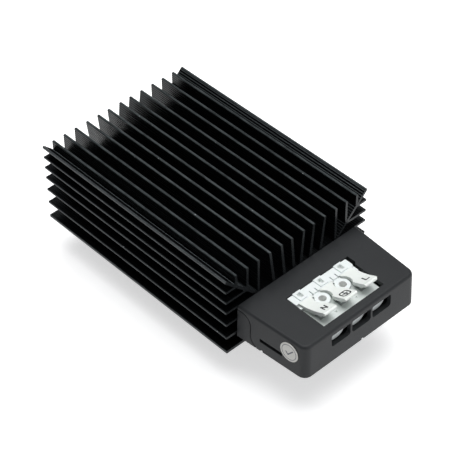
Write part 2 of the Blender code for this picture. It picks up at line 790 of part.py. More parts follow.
def cut_terminal_body(body, left, right):
    z = profile_base
    middle = -(bar_rear + bar_front) / 2 + frame_setback
    for pole in terminal_poles:
        name = pole_names[pole]
        centre = pole_place(pole)
        sides = (centre - pocket_half_width, centre + pocket_half_width)
        cut(body, box(f"pocket_{name}", sides, (-pocket_front, -pocket_rear),
                      (z + pocket_bottom, z + ledge_height - pocket_roof)))
        mouth_half = foot_width / 2 + foot_play
        mouth = foot_length / 2 + foot_play
        cut(body, box(f"pocket_mouth_{name}", (centre - mouth_half, centre + mouth_half),
                      (-foot_distance - mouth, -foot_distance + mouth),
                      (z + ledge_height - 2 * pocket_roof, z + box_top)))
        tail_half = contact_width / 2 + fit
        cut(body, box(f"tail_slit_{name}", (centre - tail_half, centre + tail_half),
                      (-pocket_rear - fit, -terminal_rear + fit),
                      (z + pocket_bottom, z + pocket_bottom + tail_slit_height)))
        entry = (centre, -(pocket_front + funnel_front) / 2, z + wire_hole_height)
        cut(body, cylinder(f"wire_hole_{name}", entry, "Y", wire_hole_radius,
                           funnel_front - pocket_front + 2 * fit, segments=28))
        cut(body, box(f"test_hole_{name}", (centre - frame_hole / 2, centre + frame_hole / 2),
                      (middle - frame_hole * 0.65, middle + frame_hole * 0.65),
                      (z + bar_height - frame_hole_depth, z + bar_height + 2 * frame_rise)))
    for number, place in enumerate(collar_places()):
        post = (place, -collar_distance, z + (terminal_bottom + collar_height) / 2)
        cut(body, cylinder(f"collar_hole_{number}", post, "Z", collar_hole_radius, collar_height,
                           segments=28))
        for side in (-1, 1):
            slit = place + side * root_slit_offset
            cut(body, box(f"root_slit_{number}_{side}",
                          (slit - root_slit_width / 2, slit + root_slit_width / 2),
                          (-bar_front - fit, -bar_front + root_slit_length),
                          (z + ledge_height + fit, z + box_top)))
        marker = -ledge_front + marker_setback
        cut(body, box(f"marker_{number}", (place - marker_width / 2, place + marker_width / 2),
                      (marker - marker_width / 2, marker + marker_width / 2),
                      (z + ledge_height - marker_depth, z + box_top)))
    cut(body, cylinder("hinge_bore", (terminal_shift, -lever_hinge_distance, z + lever_hinge_height), "X",
                       lever_pin_radius + fit, right - left + 2 * fit, segments=20))


def lever_side_profile():
    """The lever from the side: a root around the hinge, then a plate that curls up to its nose."""
    root = -bar_front - fit
    top, under = [], []
    steps = 12
    length = lever_front + root
    for step in range(steps + 1):
        along = length * step / steps
        share = along / length
        height = lever_root_height + lever_tip_lift * share + lever_tip_curl * share ** 2
        slope = math.atan((lever_tip_lift + 2 * lever_tip_curl * share) / length)
        top.append((root - along, height))
        if along > lever_root_blend:
            under.append((root - along + lever_thickness * math.sin(slope) * 0.3,
                          height - lever_thickness / math.cos(slope)))
    nose = [(top[-1], lever_nose_radius * 0.7), (under[-1], lever_nose_radius * 0.5)]
    corners = [(p, 0) for p in top[:-1]] + nose + [(p, 0) for p in reversed(under[:-1])]
    corners += [((root - lever_root_length, lever_root_bottom), 0), ((root, lever_root_bottom), fit)]
    return rounded(corners, steps=4)


def lever_plan(pole):
    """The lever from above: straight outer sides, with a hollow round each collar beside it."""
    centre = pole_place(pole)
    half = lever_width / 2
    rear = -bar_front + lever_nose_radius
    hollow = collar_radius + collar_clearance
    offset = pole_pitch / 2 - half
    hollow_steps = 12
    start = math.acos(offset / hollow)
    right = []
    if pole < 1:
        for step in range(hollow_steps + 1):
            angle = math.pi - start + 2 * start * step / hollow_steps
            right.append((centre + pole_pitch / 2 + hollow * math.cos(angle),
                          -collar_distance + hollow * math.sin(angle)))
    left = []
    if pole > -1:
        for step in range(hollow_steps + 1):
            angle = -start + 2 * start * step / hollow_steps
            left.append((centre - pole_pitch / 2 + hollow * math.cos(angle),
                         -collar_distance + hollow * math.sin(angle)))
    corners = [((centre + half, rear), 0)] + [(p, 0) for p in right]
    corners += [((centre + half, -lever_front), lever_nose_radius),
                ((centre - half, -lever_front), lever_nose_radius)]
    corners += [(p, 0) for p in left] + [((centre - half, rear), 0)]
    return rounded(corners, steps=5)


def make_lever(pole, materials):
    name = pole_names[pole]
    centre = pole_place(pole)
    half = lever_width / 2
    z = profile_base
    axle = (centre, -lever_hinge_distance, z + lever_hinge_height)
    lever = prism(f"lever_{name}", [lifted(lever_side_profile())], "X", centre - half, centre + half,
                  materials["white"])
    keep_inside(lever, prism(f"lever_plan_{name}", [lever_plan(pole)], "Z", z + pocket_bottom,
                             z + profile_height))
    fuse(lever, cylinder(f"lever_pin_{name}", axle, "X", lever_pin_radius, lever_width + 2 * lever_pin_reach,
                         segments=20))
    foot = box(f"lever_foot_{name}", (centre - foot_width / 2, centre + foot_width / 2),
               (-foot_distance - foot_length / 2, -foot_distance + foot_length / 2),
               (z + foot_bottom, z + foot_bottom + foot_height))
    fuse(lever, foot)
    return set_origin(lever, axle)


def set_origin(obj, point):
    """Moves the object's origin to a point, with its mesh staying where it is."""
    obj.data.transform(Matrix.Translation(-Vector(point)))
    obj.location = point
    return obj


def make_contacts(pole, materials):
    name = pole_names[pole]
    centre = pole_place(pole)
    z = profile_base
    bottom = pocket_bottom + fit
    box(f"contact_bar_{name}", (centre - contact_width / 2, centre + contact_width / 2),
        (-pocket_front + 2 * fit, -contact_tail), (z + bottom, z + bottom + contact_thickness),
        materials["copper"])
    low = bottom + contact_thickness + fit + spring_thickness / 2
    high = low + 2 * spring_loop_radius
    loop = -pocket_rear - spring_loop_play
    bend = spring_loop_radius * 0.98
    end = -foot_distance - spring_reach
    path = open_path([((-pocket_front + spring_end_play, low), 0), ((loop, low), bend), ((loop, high), bend),
                      ((end, high), spring_loop_radius),
                      ((end - spring_hook, low + spring_loop_radius * 0.9), 0)], steps=6)
    prism(f"clamp_spring_{name}", [lifted(strip_outline(path, spring_thickness))], "X",
          centre - spring_width / 2, centre + spring_width / 2, materials["spring"])


def make_lead(name, points, material):
    """A short insulated lead: a tube on a smooth curve through a few chosen points."""
    guide = [Vector(p) for p in points]
    smooth = []
    extended = [2 * guide[0] - guide[1]] + guide + [2 * guide[-1] - guide[-2]]
    for i in range(1, len(extended) - 2):
        p0, p1, p2, p3 = extended[i - 1:i + 3]
        for step in range(4):
            t = step / 4
            smooth.append(0.5 * ((2 * p1) + (p2 - p0) * t + (2 * p0 - 5 * p1 + 4 * p2 - p3) * t ** 2
                                 + (3 * p1 - p0 - 3 * p2 + p3) * t ** 3))
    smooth.append(guide[-1])
    curve = bpy.data.curves.new(name, "CURVE")
    curve.dimensions = "3D"
    curve.bevel_depth = lead_radius
    curve.bevel_resolution = 2
    curve.use_fill_caps = True
    spline = curve.splines.new("POLY")
    spline.points.add(len(smooth) - 1)
    for point, place in zip(spline.points, smooth):
        point.co = (*place, 1.0)
    obj = bpy.data.objects.new(name, curve)
    curve.materials.append(material)
    assembly.objects.link(obj)
    return obj


def make_leads(materials):
    levels = stack_levels()
    z = profile_base
    r = lead_radius
    tail_top = z + pocket_bottom + fit + contact_thickness + r + fit
    lower_top = levels["lower"] + electrode_thickness + r + fit
    upper_top = levels["upper"] + electrode_thickness + r + fit
    end = -contact_tail - 0.8 * r
    make_lead("lead_neutral", [
        (-tab_offset, -3.1 * r, lower_top), (-tab_offset - 0.3 * r, -5 * r, lower_top + 0.1 * r),
        (pole_place(-1) + 1.3 * r, -6.4 * r, tail_top - 1.3 * r),
        (pole_place(-1), -7 * r, tail_top - 0.1 * r), (pole_place(-1), end, tail_top)], materials["blue"])
    make_lead("lead_live", [
        (tab_offset, -3.1 * r, upper_top), (tab_offset + 0.3 * r, -4.7 * r, upper_top),
        (pole_place(1) - 1.1 * r, -6.4 * r, tail_top - 0.4 * r), (pole_place(1), -7.3 * r, tail_top),
        (pole_place(1), end, tail_top)], materials["brown"])
    lug_middle = -2 * fit - box_wall - lug_thickness / 2
    height = z + base_screw_height
    make_lead("lead_earth", [
        (base_screw_offset - lug_reach - 0.8 * r, lug_middle - 1.0 * r, height - 2.1 * r),
        (7.8 * r, -4.7 * r, height - 1.9 * r), (5.6 * r, -6.4 * r, height - 1.3 * r),
        (2 * r, -6.9 * r, height + 0.9 * r), (0.2 * r, -7 * r, tail_top - 1.1 * r),
        (pole_place(0), -7.3 * r, tail_top), (pole_place(0), end, tail_top)], materials["green"])


def make_earth_lug(materials):
    """A ring under the right screw's head, with a narrow tongue towards the middle."""
    z = profile_base + base_screw_height
    ring = screw_head_radius
    angle = math.asin(lug_tongue / ring)
    outline = [(base_screw_offset - lug_reach, z - lug_tongue)]
    for step in range(25):
        turn = math.pi + angle + (2 * math.pi - 2 * angle) * step / 24
        outline.append((base_screw_offset + ring * math.cos(turn), z + ring * math.sin(turn)))
    outline.append((base_screw_offset - lug_reach, z + lug_tongue))
    hole = circle(base_screw_offset, z, screw_radius + fit)
    rear = -fit - box_wall - fit
    return prism("earth_lug", [outline, hole], "Y", rear - lug_thickness, rear, materials["copper"])


def make_screw(name, location, axis, length, material):
    """A pan-head screw with a cross recess; the location is the plane under its head."""
    head, radius = screw_head_radius, screw_radius
    height = screw_head_height
    profile = [(0, height), (head * 0.55, height * 0.96), (head * 0.88, height * 0.66), (head, height * 0.2),
               (head, 0), (radius, 0), (radius, -length + radius), (radius * 0.4, -length), (0, -length)]
    screw = turned(name, profile, location, axis, material)
    arm = head * 0.62
    for number, (half_x, half_y) in enumerate(((arm, recess_width / 2), (recess_width / 2, arm))):
        slot = box(f"{name}_recess_{number}", (-half_x, half_x), (-half_y, half_y),
                   (height * 0.35, height * 1.5))
        slot.rotation_euler = screw.rotation_euler
        slot.location = screw.location
        cut(screw, slot)
    return screw


def make_base_screws(materials):
    wall_face = -fit - box_wall
    height = profile_base + base_screw_height
    make_screw("base_screw_left", (-base_screw_offset, wall_face - fit, height), "-Y", base_screw_length,
               materials["steel"])
    make_screw("base_screw_right", (base_screw_offset, wall_face - 2 * fit - lug_thickness, height), "-Y",
               base_screw_length, materials["steel"])


def make_rail_bracket(materials):
    """One folded sheet: a plate under the profile and two walls with a fixed hook at the rear."""
    middle = profile_length / 2
    top = profile_base - fit
    centre_line = top - sheet / 2
    wall = bracket_half_width - sheet / 2
    path = open_path([((-wall, 0.0), 0), ((-wall, centre_line), sheet_bend_radius),
                      ((wall, centre_line), sheet_bend_radius), ((wall, 0.0), 0)], steps=5)
    bracket = prism("rail_bracket", [strip_outline(path, sheet)], "Y", middle - bracket_front,
                    middle + bracket_rear, materials["steel"])
    seat = profile_base - seat_depth
    under = seat - rail_thickness - rail_play
    edge = middle + rail_width / 2 + rail_play
    lip = edge - hook_reach
    relief = [(middle - bracket_front - sheet, seat), (edge, seat), (edge, under), (lip, under),
              (lip - hook_slant, -sheet), (middle - bracket_front - sheet, -sheet)]
    reach = bracket_half_width + sheet
    cut(bracket, prism("rail_relief", [relief[::-1]], "X", -reach, reach))
    for number, place in enumerate(clip_screw_places()):
        cut(bracket, cylinder(f"bracket_hole_{number}", (0, place, centre_line), "Z", screw_radius + fit,
                              4 * sheet, segments=20))
    return bracket


def make_rail_latch(materials):
    """A bent spring strip under the bracket's plate: leg, hook lip, and a release tab below."""
    middle = profile_length / 2
    top = profile_base - fit - sheet - fit
    line = top - latch_thickness / 2
    leg = middle - rail_width / 2 - rail_play - latch_thickness / 2
    lip = profile_base - seat_depth - rail_thickness - rail_play - latch_thickness / 2
    tab = latch_thickness / 2
    screw_place = clip_screw_places()[0]
    path = open_path([((screw_place + latch_tail, line), 0), ((leg, line), 0.0015), ((leg, lip), 0.0008),
                      ((leg + hook_reach + latch_thickness, lip), 0.0007),
                      ((leg + hook_reach, tab), 0.0006), ((leg - latch_tab_reach, tab), 0)], steps=4)
    latch = prism("rail_latch", [strip_outline(path, latch_thickness)], "X", -latch_half_width,
                  latch_half_width, materials["spring"])
    cut(latch, cylinder("latch_hole", (0, screw_place, line), "Z", screw_radius + fit, 4 * latch_thickness,
                        segments=20))
    return latch


def make_bracket_screws(materials):
    front, rear = clip_screw_places()
    plate_under = profile_base - fit - sheet
    latch_under = plate_under - fit - latch_thickness
    make_screw("bracket_screw_front", (0, front, latch_under - fit), "-Z", clip_screw_length,
               materials["steel"])
    make_screw("bracket_screw_rear", (0, rear, plate_under - fit), "-Z", clip_screw_length,
               materials["steel"])


def make_sticker(materials):
    """A thin disc that follows the taper and draft of the box's left side."""
    wall = box_half_width(sticker_distance, sticker_height)
    taper = math.atan((box_rear_half - box_front_half) / box_length)
    draft = math.atan(box_draft / (box_top - box_bottom))
    normal = Vector((-math.cos(taper), -math.sin(taper), math.sin(draft))).normalized()
    surface = Vector((-wall, -sticker_distance, profile_base + sticker_height))
    centre = surface + normal * (sticker_gap + sticker_thickness / 2)
    disc = cylinder("inspection_sticker", (0, 0, 0), "Z", sticker_radius, sticker_thickness,
                    materials["paper"], segments=48)
    disc.rotation_euler = normal.to_track_quat("Z", "Y").to_euler()
    disc.location = centre
    return disc


def centre_over_origin():
    """Moves every piece along Y, to bring the middle of the whole length over the origin."""
    middle = (profile_length - box_length - box_draft) / 2
    for obj in list(assembly.objects) + list(cutters.objects):
        obj.location.y -= middle


def main():
    global assembly, cutters
    clear_scene()
    assembly = new_collection("enclosure_heater")
    cutters = new_collection("cutters")
    materials = make_materials()
    make_profile(materials)
    make_heater_stack(materials)
    make_base(materials)
    make_cover(materials)
    make_terminal_body(materials)
    for pole in terminal_poles:
        make_lever(pole, materials)
        make_contacts(pole, materials)
    make_leads(materials)
    make_earth_lug(materials)
    make_base_screws(materials)
    make_rail_bracket(materials)
    make_rail_latch(materials)
    make_bracket_screws(materials)
    make_sticker(materials)
    centre_over_origin()


main()
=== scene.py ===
import math

import bmesh
import bpy
from mathutils import Matrix, Vector


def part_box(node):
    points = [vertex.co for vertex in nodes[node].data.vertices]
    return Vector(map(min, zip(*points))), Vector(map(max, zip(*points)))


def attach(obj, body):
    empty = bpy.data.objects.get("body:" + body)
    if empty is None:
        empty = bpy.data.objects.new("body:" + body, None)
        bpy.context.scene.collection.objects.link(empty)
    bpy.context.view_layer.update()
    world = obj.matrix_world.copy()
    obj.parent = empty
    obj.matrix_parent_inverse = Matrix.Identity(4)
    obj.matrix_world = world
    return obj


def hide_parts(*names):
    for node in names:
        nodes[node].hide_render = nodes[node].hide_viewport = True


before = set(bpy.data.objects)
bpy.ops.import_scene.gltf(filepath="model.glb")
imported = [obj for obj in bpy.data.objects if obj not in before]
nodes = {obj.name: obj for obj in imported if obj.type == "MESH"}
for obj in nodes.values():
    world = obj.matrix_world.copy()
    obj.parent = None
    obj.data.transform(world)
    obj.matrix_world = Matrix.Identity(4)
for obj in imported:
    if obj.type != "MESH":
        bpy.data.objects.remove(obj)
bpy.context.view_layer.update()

# Places are given from the joint of profile and box (y = 0) and from the underside of the profile (z = 0).
mm = 0.001
profileLow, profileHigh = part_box("finned_profile")
joint = profileLow.y
under = profileLow.z
length = profileHigh.y - profileLow.y
print("frame loaded with", len(nodes), "nodes")


# small tools for shader and geometry trees

def join(tree, source, target):
    tree.links.new(source, target)


def addNode(tree, kind, values=(), **traits):
    # each value is a socket to join or a plain value to set
    node = tree.nodes.new(kind)
    for trait, value in traits.items():
        setattr(node, trait, value)
    for socket, value in values:
        if isinstance(value, bpy.types.NodeSocket):
            join(tree, value, node.inputs[socket])
        else:
            node.inputs[socket].default_value = value
    return node


def newFinish(name, colour, roughness, metallic=0.0):
    material = bpy.data.materials.new(name)
    material.use_nodes = True
    tree = material.node_tree
    shader = tree.nodes["Principled BSDF"]
    shader.inputs["Base Color"].default_value = (*colour, 1.0)
    shader.inputs["Roughness"].default_value = roughness
    shader.inputs["Metallic"].default_value = metallic
    return material, tree, shader


def dressed(material, colour, rough=None, bump=None):
    # joins what was made for a finish to its shader
    shader = material.node_tree.nodes["Principled BSDF"]
    for socket, source in (("Base Color", colour), ("Roughness", rough), ("Normal", bump)):
        if source is not None:
            join(material.node_tree, source, shader.inputs[socket])
    return material


def pattern(tree, scale=(1, 1, 1), turn=(0, 0, 0), start=(0, 0, 0)):
    # object coordinates, stretched and turned
    place = addNode(tree, "ShaderNodeTexCoord").outputs["Object"]
    return addNode(tree, "ShaderNodeMapping", [("Vector", place), ("Location", start), ("Rotation", turn),
                                               ("Scale", scale)]).outputs["Vector"]


def noise(tree, vector, scale, detail, roughness):
    return addNode(tree, "ShaderNodeTexNoise", [("Vector", vector), ("Scale", scale), ("Detail", detail),
                                                ("Roughness", roughness)]).outputs["Fac"]


def cells(tree, vector, scale):
    return addNode(tree, "ShaderNodeTexVoronoi", [("Vector", vector), ("Scale", scale)])


def spread(tree, value, low, high, first, last, smooth=False):
    ranges = [("Value", value), ("From Min", low), ("From Max", high), ("To Min", first), ("To Max", last)]
    step = "SMOOTHSTEP" if smooth else "LINEAR"
    return addNode(tree, "ShaderNodeMapRange", ranges, interpolation_type=step).outputs["Result"]


def fromNoise(tree, noisy, first, last):
    # most of a noise lies between these two
    return spread(tree, noisy, 0.3, 0.7, first, last)


def maths(tree, operation, *values):
    return addNode(tree, "ShaderNodeMath", enumerate(values), operation=operation).outputs["Value"]


def plus(tree, first, second):
    return maths(tree, "ADD", first, second)


def minus(tree, first, second):
    return maths(tree, "SUBTRACT", first, second)


def times(tree, first, second):
    return maths(tree, "MULTIPLY", first, second)


def larger(tree, first, second):
    return maths(tree, "MAXIMUM", first, second)


def offset(tree, value, middle=0.0):
    # how far a value lies from a middle
    return maths(tree, "ABSOLUTE", minus(tree, value, middle))


def tint(tree, factor, first, second):
    first, second = ((*colour, 1.0) if isinstance(colour, tuple) else colour for colour in (first, second))
    return addNode(tree, "ShaderNodeMix", [(0, factor), (6, first), (7, second)], data_type="RGBA").outputs[2]


def relief(tree, height, depth, below=None):
    values = [("Strength", 1.0), ("Distance", depth), ("Height", height)]
    if below is not None:
        values.append(("Normal", below))
    return addNode(tree, "ShaderNodeBump", values).outputs["Normal"]


def axisOf(tree, vector, axis):
    return addNode(tree, "ShaderNodeSeparateXYZ", [("Vector", vector)]).outputs[axis]


def combined(tree, x, y, z):
    return addNode(tree, "ShaderNodeCombineXYZ", enumerate((x, y, z))).outputs["Vector"]


# finishes, one maker each

def armRidges(tree, look, across, level, ends):
    # painted highlights on the crests of the ridges along the two arms, dull grooves between them; every
    # second one on the left
    reach = offset(tree, across)
    offArm = offset(tree, minus(tree, level, reach), look["armShift"])
    fromTip = minus(tree, look["armTip"], times(tree, plus(tree, level, reach), look["diagonal"]))
    right = spread(tree, across, -look["ridgeStep"], look["ridgeStep"], 0.0, 1.0)
    left = minus(tree, 1.0, right)
    start = plus(tree, fromTip, times(tree, left, look["leftStart"]))
    step = times(tree, plus(tree, 1.0, left), look["ridgeStep"])
    wave = maths(tree, "PINGPONG", maths(tree, "DIVIDE", start, step), 0.5)
    onArm = times(tree, spread(tree, offArm, *look["armEdge"], 1.0, 0.0), minus(tree, 1.0, ends))
    shown = larger(tree, right, spread(tree, fromTip, *look["leftFrom"], 0.0, 1.0))
    ridged = times(tree, spread(tree, wave, *look["crestEdge"], 0.0, 1.0, True), shown)
    # painted highlight on the ridge crests, fading away from the arm's tip
    crest = times(tree, times(tree, ridged, onArm), spread(tree, fromTip, *look["crestFade"], 0.8, 0.35))
    offTip = times(tree, onArm, spread(tree, fromTip, *look["tipFade"], 0.0, 1.0))
    return right, ridged, crest, offTip


def anodisedFinish():
    # black anodised extrusion: die lines along its length, sawn ends, fin tips lighter from wear and a
    # painted highlight, painted highlights on the arms' ridge crests
    look = {"black": (0.0016, 0.0018, 0.0020), "cloud": (0.0023, 0.0026, 0.0028),
            "wornAndLit": (0.050, 0.058, 0.060), "sawn": (0.011, 0.0123, 0.0132), "scored": (0.018, 0.020, 0.021),
            "chip": (0.42, 0.44, 0.45), "crestHighlight": (0.21, 0.24, 0.25), "shine": (0.88, 0.97, 1.0, 1.0),
            "roughness": 0.34, "specular": 0.18, "ridgeSpecular": (0.01, 0.45),
            "tipHeight": (34.9 * mm, 35.45 * mm), "tipReach": (34.7 * mm, 34.96 * mm),
            "armShift": 0.3 * mm, "armEdge": (0.9 * mm, 1.2 * mm), "armTip": 49.12 * mm, "diagonal": 0.7071,
            "ridgeStep": 1.0 * mm, "leftStart": 0.5 * mm, "leftFrom": (3.0 * mm, 3.6 * mm),
            "crestEdge": (0.30, 0.44), "crestFade": (5.0 * mm, 9.0 * mm), "tipFade": (0.05 * mm, 0.30 * mm)}
    material, tree, shader = newFinish("blackAnodised", look["black"], look["roughness"])
    shader.inputs["Specular Tint"].default_value = look["shine"]
    whole = pattern(tree)
    dieLines = noise(tree, pattern(tree, (1.0, 0.012, 1.0)), 5200, 3, 0.6)
    cloud = noise(tree, whole, 130, 3, 0.55)
    across, level = axisOf(tree, whole, "X"), minus(tree, axisOf(tree, whole, "Z"), under)
    normal = addNode(tree, "ShaderNodeNewGeometry").outputs["Normal"]
    ends = spread(tree, offset(tree, axisOf(tree, normal, "Y")), 0.6, 0.9, 0.0, 1.0)
    right, ridged, crest, offTip = armRidges(tree, look, across, level, ends)
    tips = larger(tree, spread(tree, level, *look["tipHeight"], 0.0, 1.0, True),
                  spread(tree, offset(tree, across), *look["tipReach"], 0.0, 0.8, True))
    tips = times(tree, tips, minus(tree, 1.0, offTip))

    dark = tint(tree, spread(tree, cloud, 0.35, 0.7, 0.0, 1.0), look["black"], look["cloud"])
    wear = spread(tree, noise(tree, pattern(tree, (1.0, 0.25, 1.0)), 520, 4, 0.7), 0.34, 0.62, 0.35, 1.0)
    # fin tips lighter in colour: partly wear, partly a painted highlight for the light falling on their tops
    wornAndLit = tint(tree, times(tree, tips, wear), dark, look["wornAndLit"])
    # painted highlights on the arms' ridge crests, paler on the right arm
    crestHighlighted = tint(tree, crest, wornAndLit, tint(tree, right, look["crestHighlight"], look["wornAndLit"]))
    chips = spread(tree, noise(tree, pattern(tree, (1.0, 0.6, 1.0), (0, 0, 0), (0.02, 0, 0)), 900, 2, 0.5),
                   0.735, 0.76, 0.0, 0.9)
    edged = tint(tree, times(tree, tips, chips), crestHighlighted, look["chip"])
    sawMarks = noise(tree, pattern(tree, (0.25, 1.0, 1.0), (0, 0.5, 0)), 2600, 2, 0.5)
    sawn = tint(tree, spread(tree, sawMarks, 0.35, 0.65, 0.0, 1.0), look["sawn"], look["scored"])

    change = minus(tree, spread(tree, ridged, 0.0, 1.0, *look["ridgeSpecular"]), look["specular"])
    join(tree, plus(tree, look["specular"], times(tree, offTip, change)), shader.inputs["Specular IOR Level"])
    rough = plus(tree, fromNoise(tree, dieLines, 0.20, 0.32), fromNoise(tree, cloud, -0.015, 0.02))
    lines = relief(tree, dieLines, 0.02 * mm)
    return dressed(material, tint(tree, ends, edged, sawn), rough, relief(tree, sawMarks, 0.012 * mm, lines))


def boxFinish():
    # dark grey glass-filled polyamide with a fine spark-eroded grain
    look = {"grey": (0.0180, 0.0197, 0.0213), "pale": (0.0235, 0.0254, 0.0272),
            "dark": (0.0130, 0.0143, 0.0156), "dust": (0.085, 0.088, 0.090), "roughness": 0.52,
            "specular": 0.26}
    material, tree, shader = newFinish("boxGreyPolyamide", look["grey"], look["roughness"])
    shader.inputs["Specular IOR Level"].default_value = look["specular"]
    whole = pattern(tree)
    grain = noise(tree, whole, 6800, 2, 0.55)
    fine = noise(tree, whole, 15000, 1, 0.5)
    cloud = noise(tree, whole, 55, 3, 0.5)
    body = tint(tree, fromNoise(tree, cloud, 0.0, 1.0), look["grey"], look["pale"])
    speck = spread(tree, noise(tree, whole, 1500, 2, 0.6), 0.735, 0.775, 0.0, 0.8)
    mottled = tint(tree, spread(tree, grain, 0.3, 0.75, 0.0, 0.55), body, look["dark"])
    rough = fromNoise(tree, grain, 0.44, 0.60)
    coarse = relief(tree, grain, 0.016 * mm)
    colour = tint(tree, speck, mottled, look["dust"])
    return dressed(material, colour, rough, relief(tree, fine, 0.006 * mm, coarse))


# where the terminal's holes lie, and the pale colour painted into them for light
terminalHoles = {"middle": -0.2 * mm, "half": 5.075 * mm, "collarRow": -51.55 * mm, "radius": 1.53 * mm,
                 "rim": 0.08 * mm, "testRow": joint - 11.65 * mm, "testHalf": 0.90 * mm,
                 "testReach": 1.17 * mm, "testRim": (0.02 * mm, 0.06 * mm), "testTop": under + 21.1 * mm,
                 "testFade": 0.15 * mm, "testShare": 0.45, "pale": (0.960, 0.975, 0.955)}


def paintedHoleLight(tree, whole, height, holes):
    # painted light: the collars' bores and the square test holes get a paler colour, standing in for light
    # let through the thin walls
    fromMiddle = offset(tree, axisOf(tree, whole, "X"), holes["middle"])
    place = axisOf(tree, whole, "Y")
    fromBore, along = minus(tree, fromMiddle, holes["half"]), minus(tree, place, holes["collarRow"])
    distance = maths(tree, "SQRT", plus(tree, times(tree, fromBore, fromBore), times(tree, along, along)))
    boreLight = spread(tree, distance, holes["radius"], holes["radius"] + holes["rim"], 1.0, 0.0)
    fromPole = maths(tree, "PINGPONG", fromMiddle, holes["half"])
    beside = larger(tree, minus(tree, fromPole, holes["testHalf"]),
                    minus(tree, offset(tree, place, holes["testRow"]), holes["testReach"]))
    testHoleLight = times(tree, spread(tree, beside, *holes["testRim"], holes["testShare"], 0.0),
                   spread(tree, height, holes["testTop"] - holes["testFade"], holes["testTop"], 1.0, 0.0))
    return larger(tree, boreLight, testHoleLight)


def whiteFinish(name, white, shade, holes=None):
    # white polyamide: a little translucent, softly mottled, with a painted greenish shade in its hollows
    look = {"depth": 0.12, "radius": (0.9 * mm, 1.0 * mm, 0.9 * mm), "scatter": 0.8, "roughness": 0.38,
            "paintedShadeTop": (under + 17.6 * mm, under + 20.2 * mm),
            "paintedShadeFloor": (under + 17.2 * mm, under + 18.2 * mm)}
    material, tree, shader = newFinish(name, white, look["roughness"])
    shader.inputs["Subsurface Weight"].default_value = look["depth"]
    shader.inputs["Subsurface Radius"].default_value = look["radius"]
    shader.inputs["Subsurface Scale"].default_value = look["scatter"]
    whole = pattern(tree)
    cloud = noise(tree, whole, 320, 3, 0.55)
    flow = noise(tree, pattern(tree, (1.0, 0.3, 1.0)), 1400, 2, 0.5)
    height = axisOf(tree, whole, "Z")
    # painted shade: the shade colour darkens the band from 17.2 to 20.2 mm, where the hollows below the bar's
    # top lie in shade
    low = times(tree, spread(tree, height, *look["paintedShadeTop"], 0.75, 0.0, True),
                spread(tree, height, *look["paintedShadeFloor"], 0.0, 1.0, True))
    mottled = tint(tree, fromNoise(tree, cloud, 0.0, 0.30), white, shade)
    colour = tint(tree, low, mottled, shade)
    if holes:
        # painted light in the bores and test holes
        colour = tint(tree, paintedHoleLight(tree, whole, height, holes), colour, holes["pale"])
    return dressed(material, colour, fromNoise(tree, flow, 0.30, 0.46), relief(tree, flow, 0.012 * mm))


def zincFinish():
    # zinc plate: fine spangle, faint yellow and blue drift, darker in scratches
    look = {"cool": (0.56, 0.58, 0.61), "warm": (0.66, 0.64, 0.58), "dull": (0.36, 0.37, 0.38)}
    material, tree, _ = newFinish("zincPlate", look["cool"], 0.34, 1.0)
    whole = pattern(tree)
    spangle = axisOf(tree, cells(tree, whole, 900.0).outputs["Color"], "X")
    drift = noise(tree, whole, 90, 3, 0.5)
    scratch = noise(tree, pattern(tree, (1.0, 0.05, 1.0), (0, 0, 0.3)), 3600, 3, 0.6)
    colour = tint(tree, fromNoise(tree, drift, 0.0, 1.0), look["cool"], look["warm"])
    marked = tint(tree, spread(tree, scratch, 0.62, 0.74, 0.0, 0.55), colour, look["dull"])
    rough = spread(tree, spangle, 0.0, 1.0, 0.26, 0.44)
    return dressed(material, marked, rough, relief(tree, scratch, 0.008 * mm))


def drawnMetal(name, colour, dull, roughness, along):
    # rolled or drawn metal with fine lines along one way
    material, tree, _ = newFinish(name, colour, roughness, 1.0)
    lines = noise(tree, pattern(tree, along), 4200, 3, 0.6)
    cloud = noise(tree, pattern(tree), 220, 3, 0.5)
    mixed = tint(tree, spread(tree, cloud, 0.35, 0.7, 0.0, 0.7), colour, dull)
    rough = fromNoise(tree, lines, roughness - 0.08, roughness + 0.10)
    return dressed(material, mixed, rough, relief(tree, lines, 0.006 * mm))


def rubberFinish(name, colour, pale, roughness):
    # silicone or wire insulation: matte, faintly streaked, with a little dust
    material, tree, _ = newFinish(name, colour, roughness)
    whole = pattern(tree)
    cloud = noise(tree, whole, 260, 3, 0.55)
    grain = noise(tree, whole, 5200, 2, 0.5)
    mixed = tint(tree, spread(tree, cloud, 0.3, 0.75, 0.0, 0.8), colour, pale)
    rough = fromNoise(tree, grain, roughness - 0.08, roughness + 0.08)
    return dressed(material, mixed, rough, relief(tree, grain, 0.010 * mm))


def stoneFinish():
    # pressed ceramic stone: dark, dry, with pale grains
    look = {"dark": (0.085, 0.080, 0.078), "grain": (0.19, 0.18, 0.17)}
    material, tree, _ = newFinish("ptcStone", look["dark"], 0.72)
    grains = cells(tree, pattern(tree), 2600.0)
    speck = spread(tree, axisOf(tree, grains.outputs["Color"], "X"), 0.80, 0.95, 0.0, 0.6)
    bump = relief(tree, grains.outputs["Distance"], 0.02 * mm)
    return dressed(material, tint(tree, speck, look["dark"], look["grain"]), bump=bump)


def filmFinish():
    # amber insulating film, slightly wavy
    look = {"amber": (0.50, 0.26, 0.045), "deep": (0.40, 0.185, 0.028)}
    material, tree, _ = newFinish("amberFilm", look["amber"], 0.30)
    cloud = noise(tree, pattern(tree), 700, 3, 0.6)
    wave = noise(tree, pattern(tree, (1.0, 0.4, 1.0)), 380, 2, 0.5)
    mixed = tint(tree, fromNoise(tree, cloud, 0.0, 1.0), look["amber"], look["deep"])
    return dressed(material, mixed, fromNoise(tree, wave, 0.22, 0.36), relief(tree, wave, 0.03 * mm))


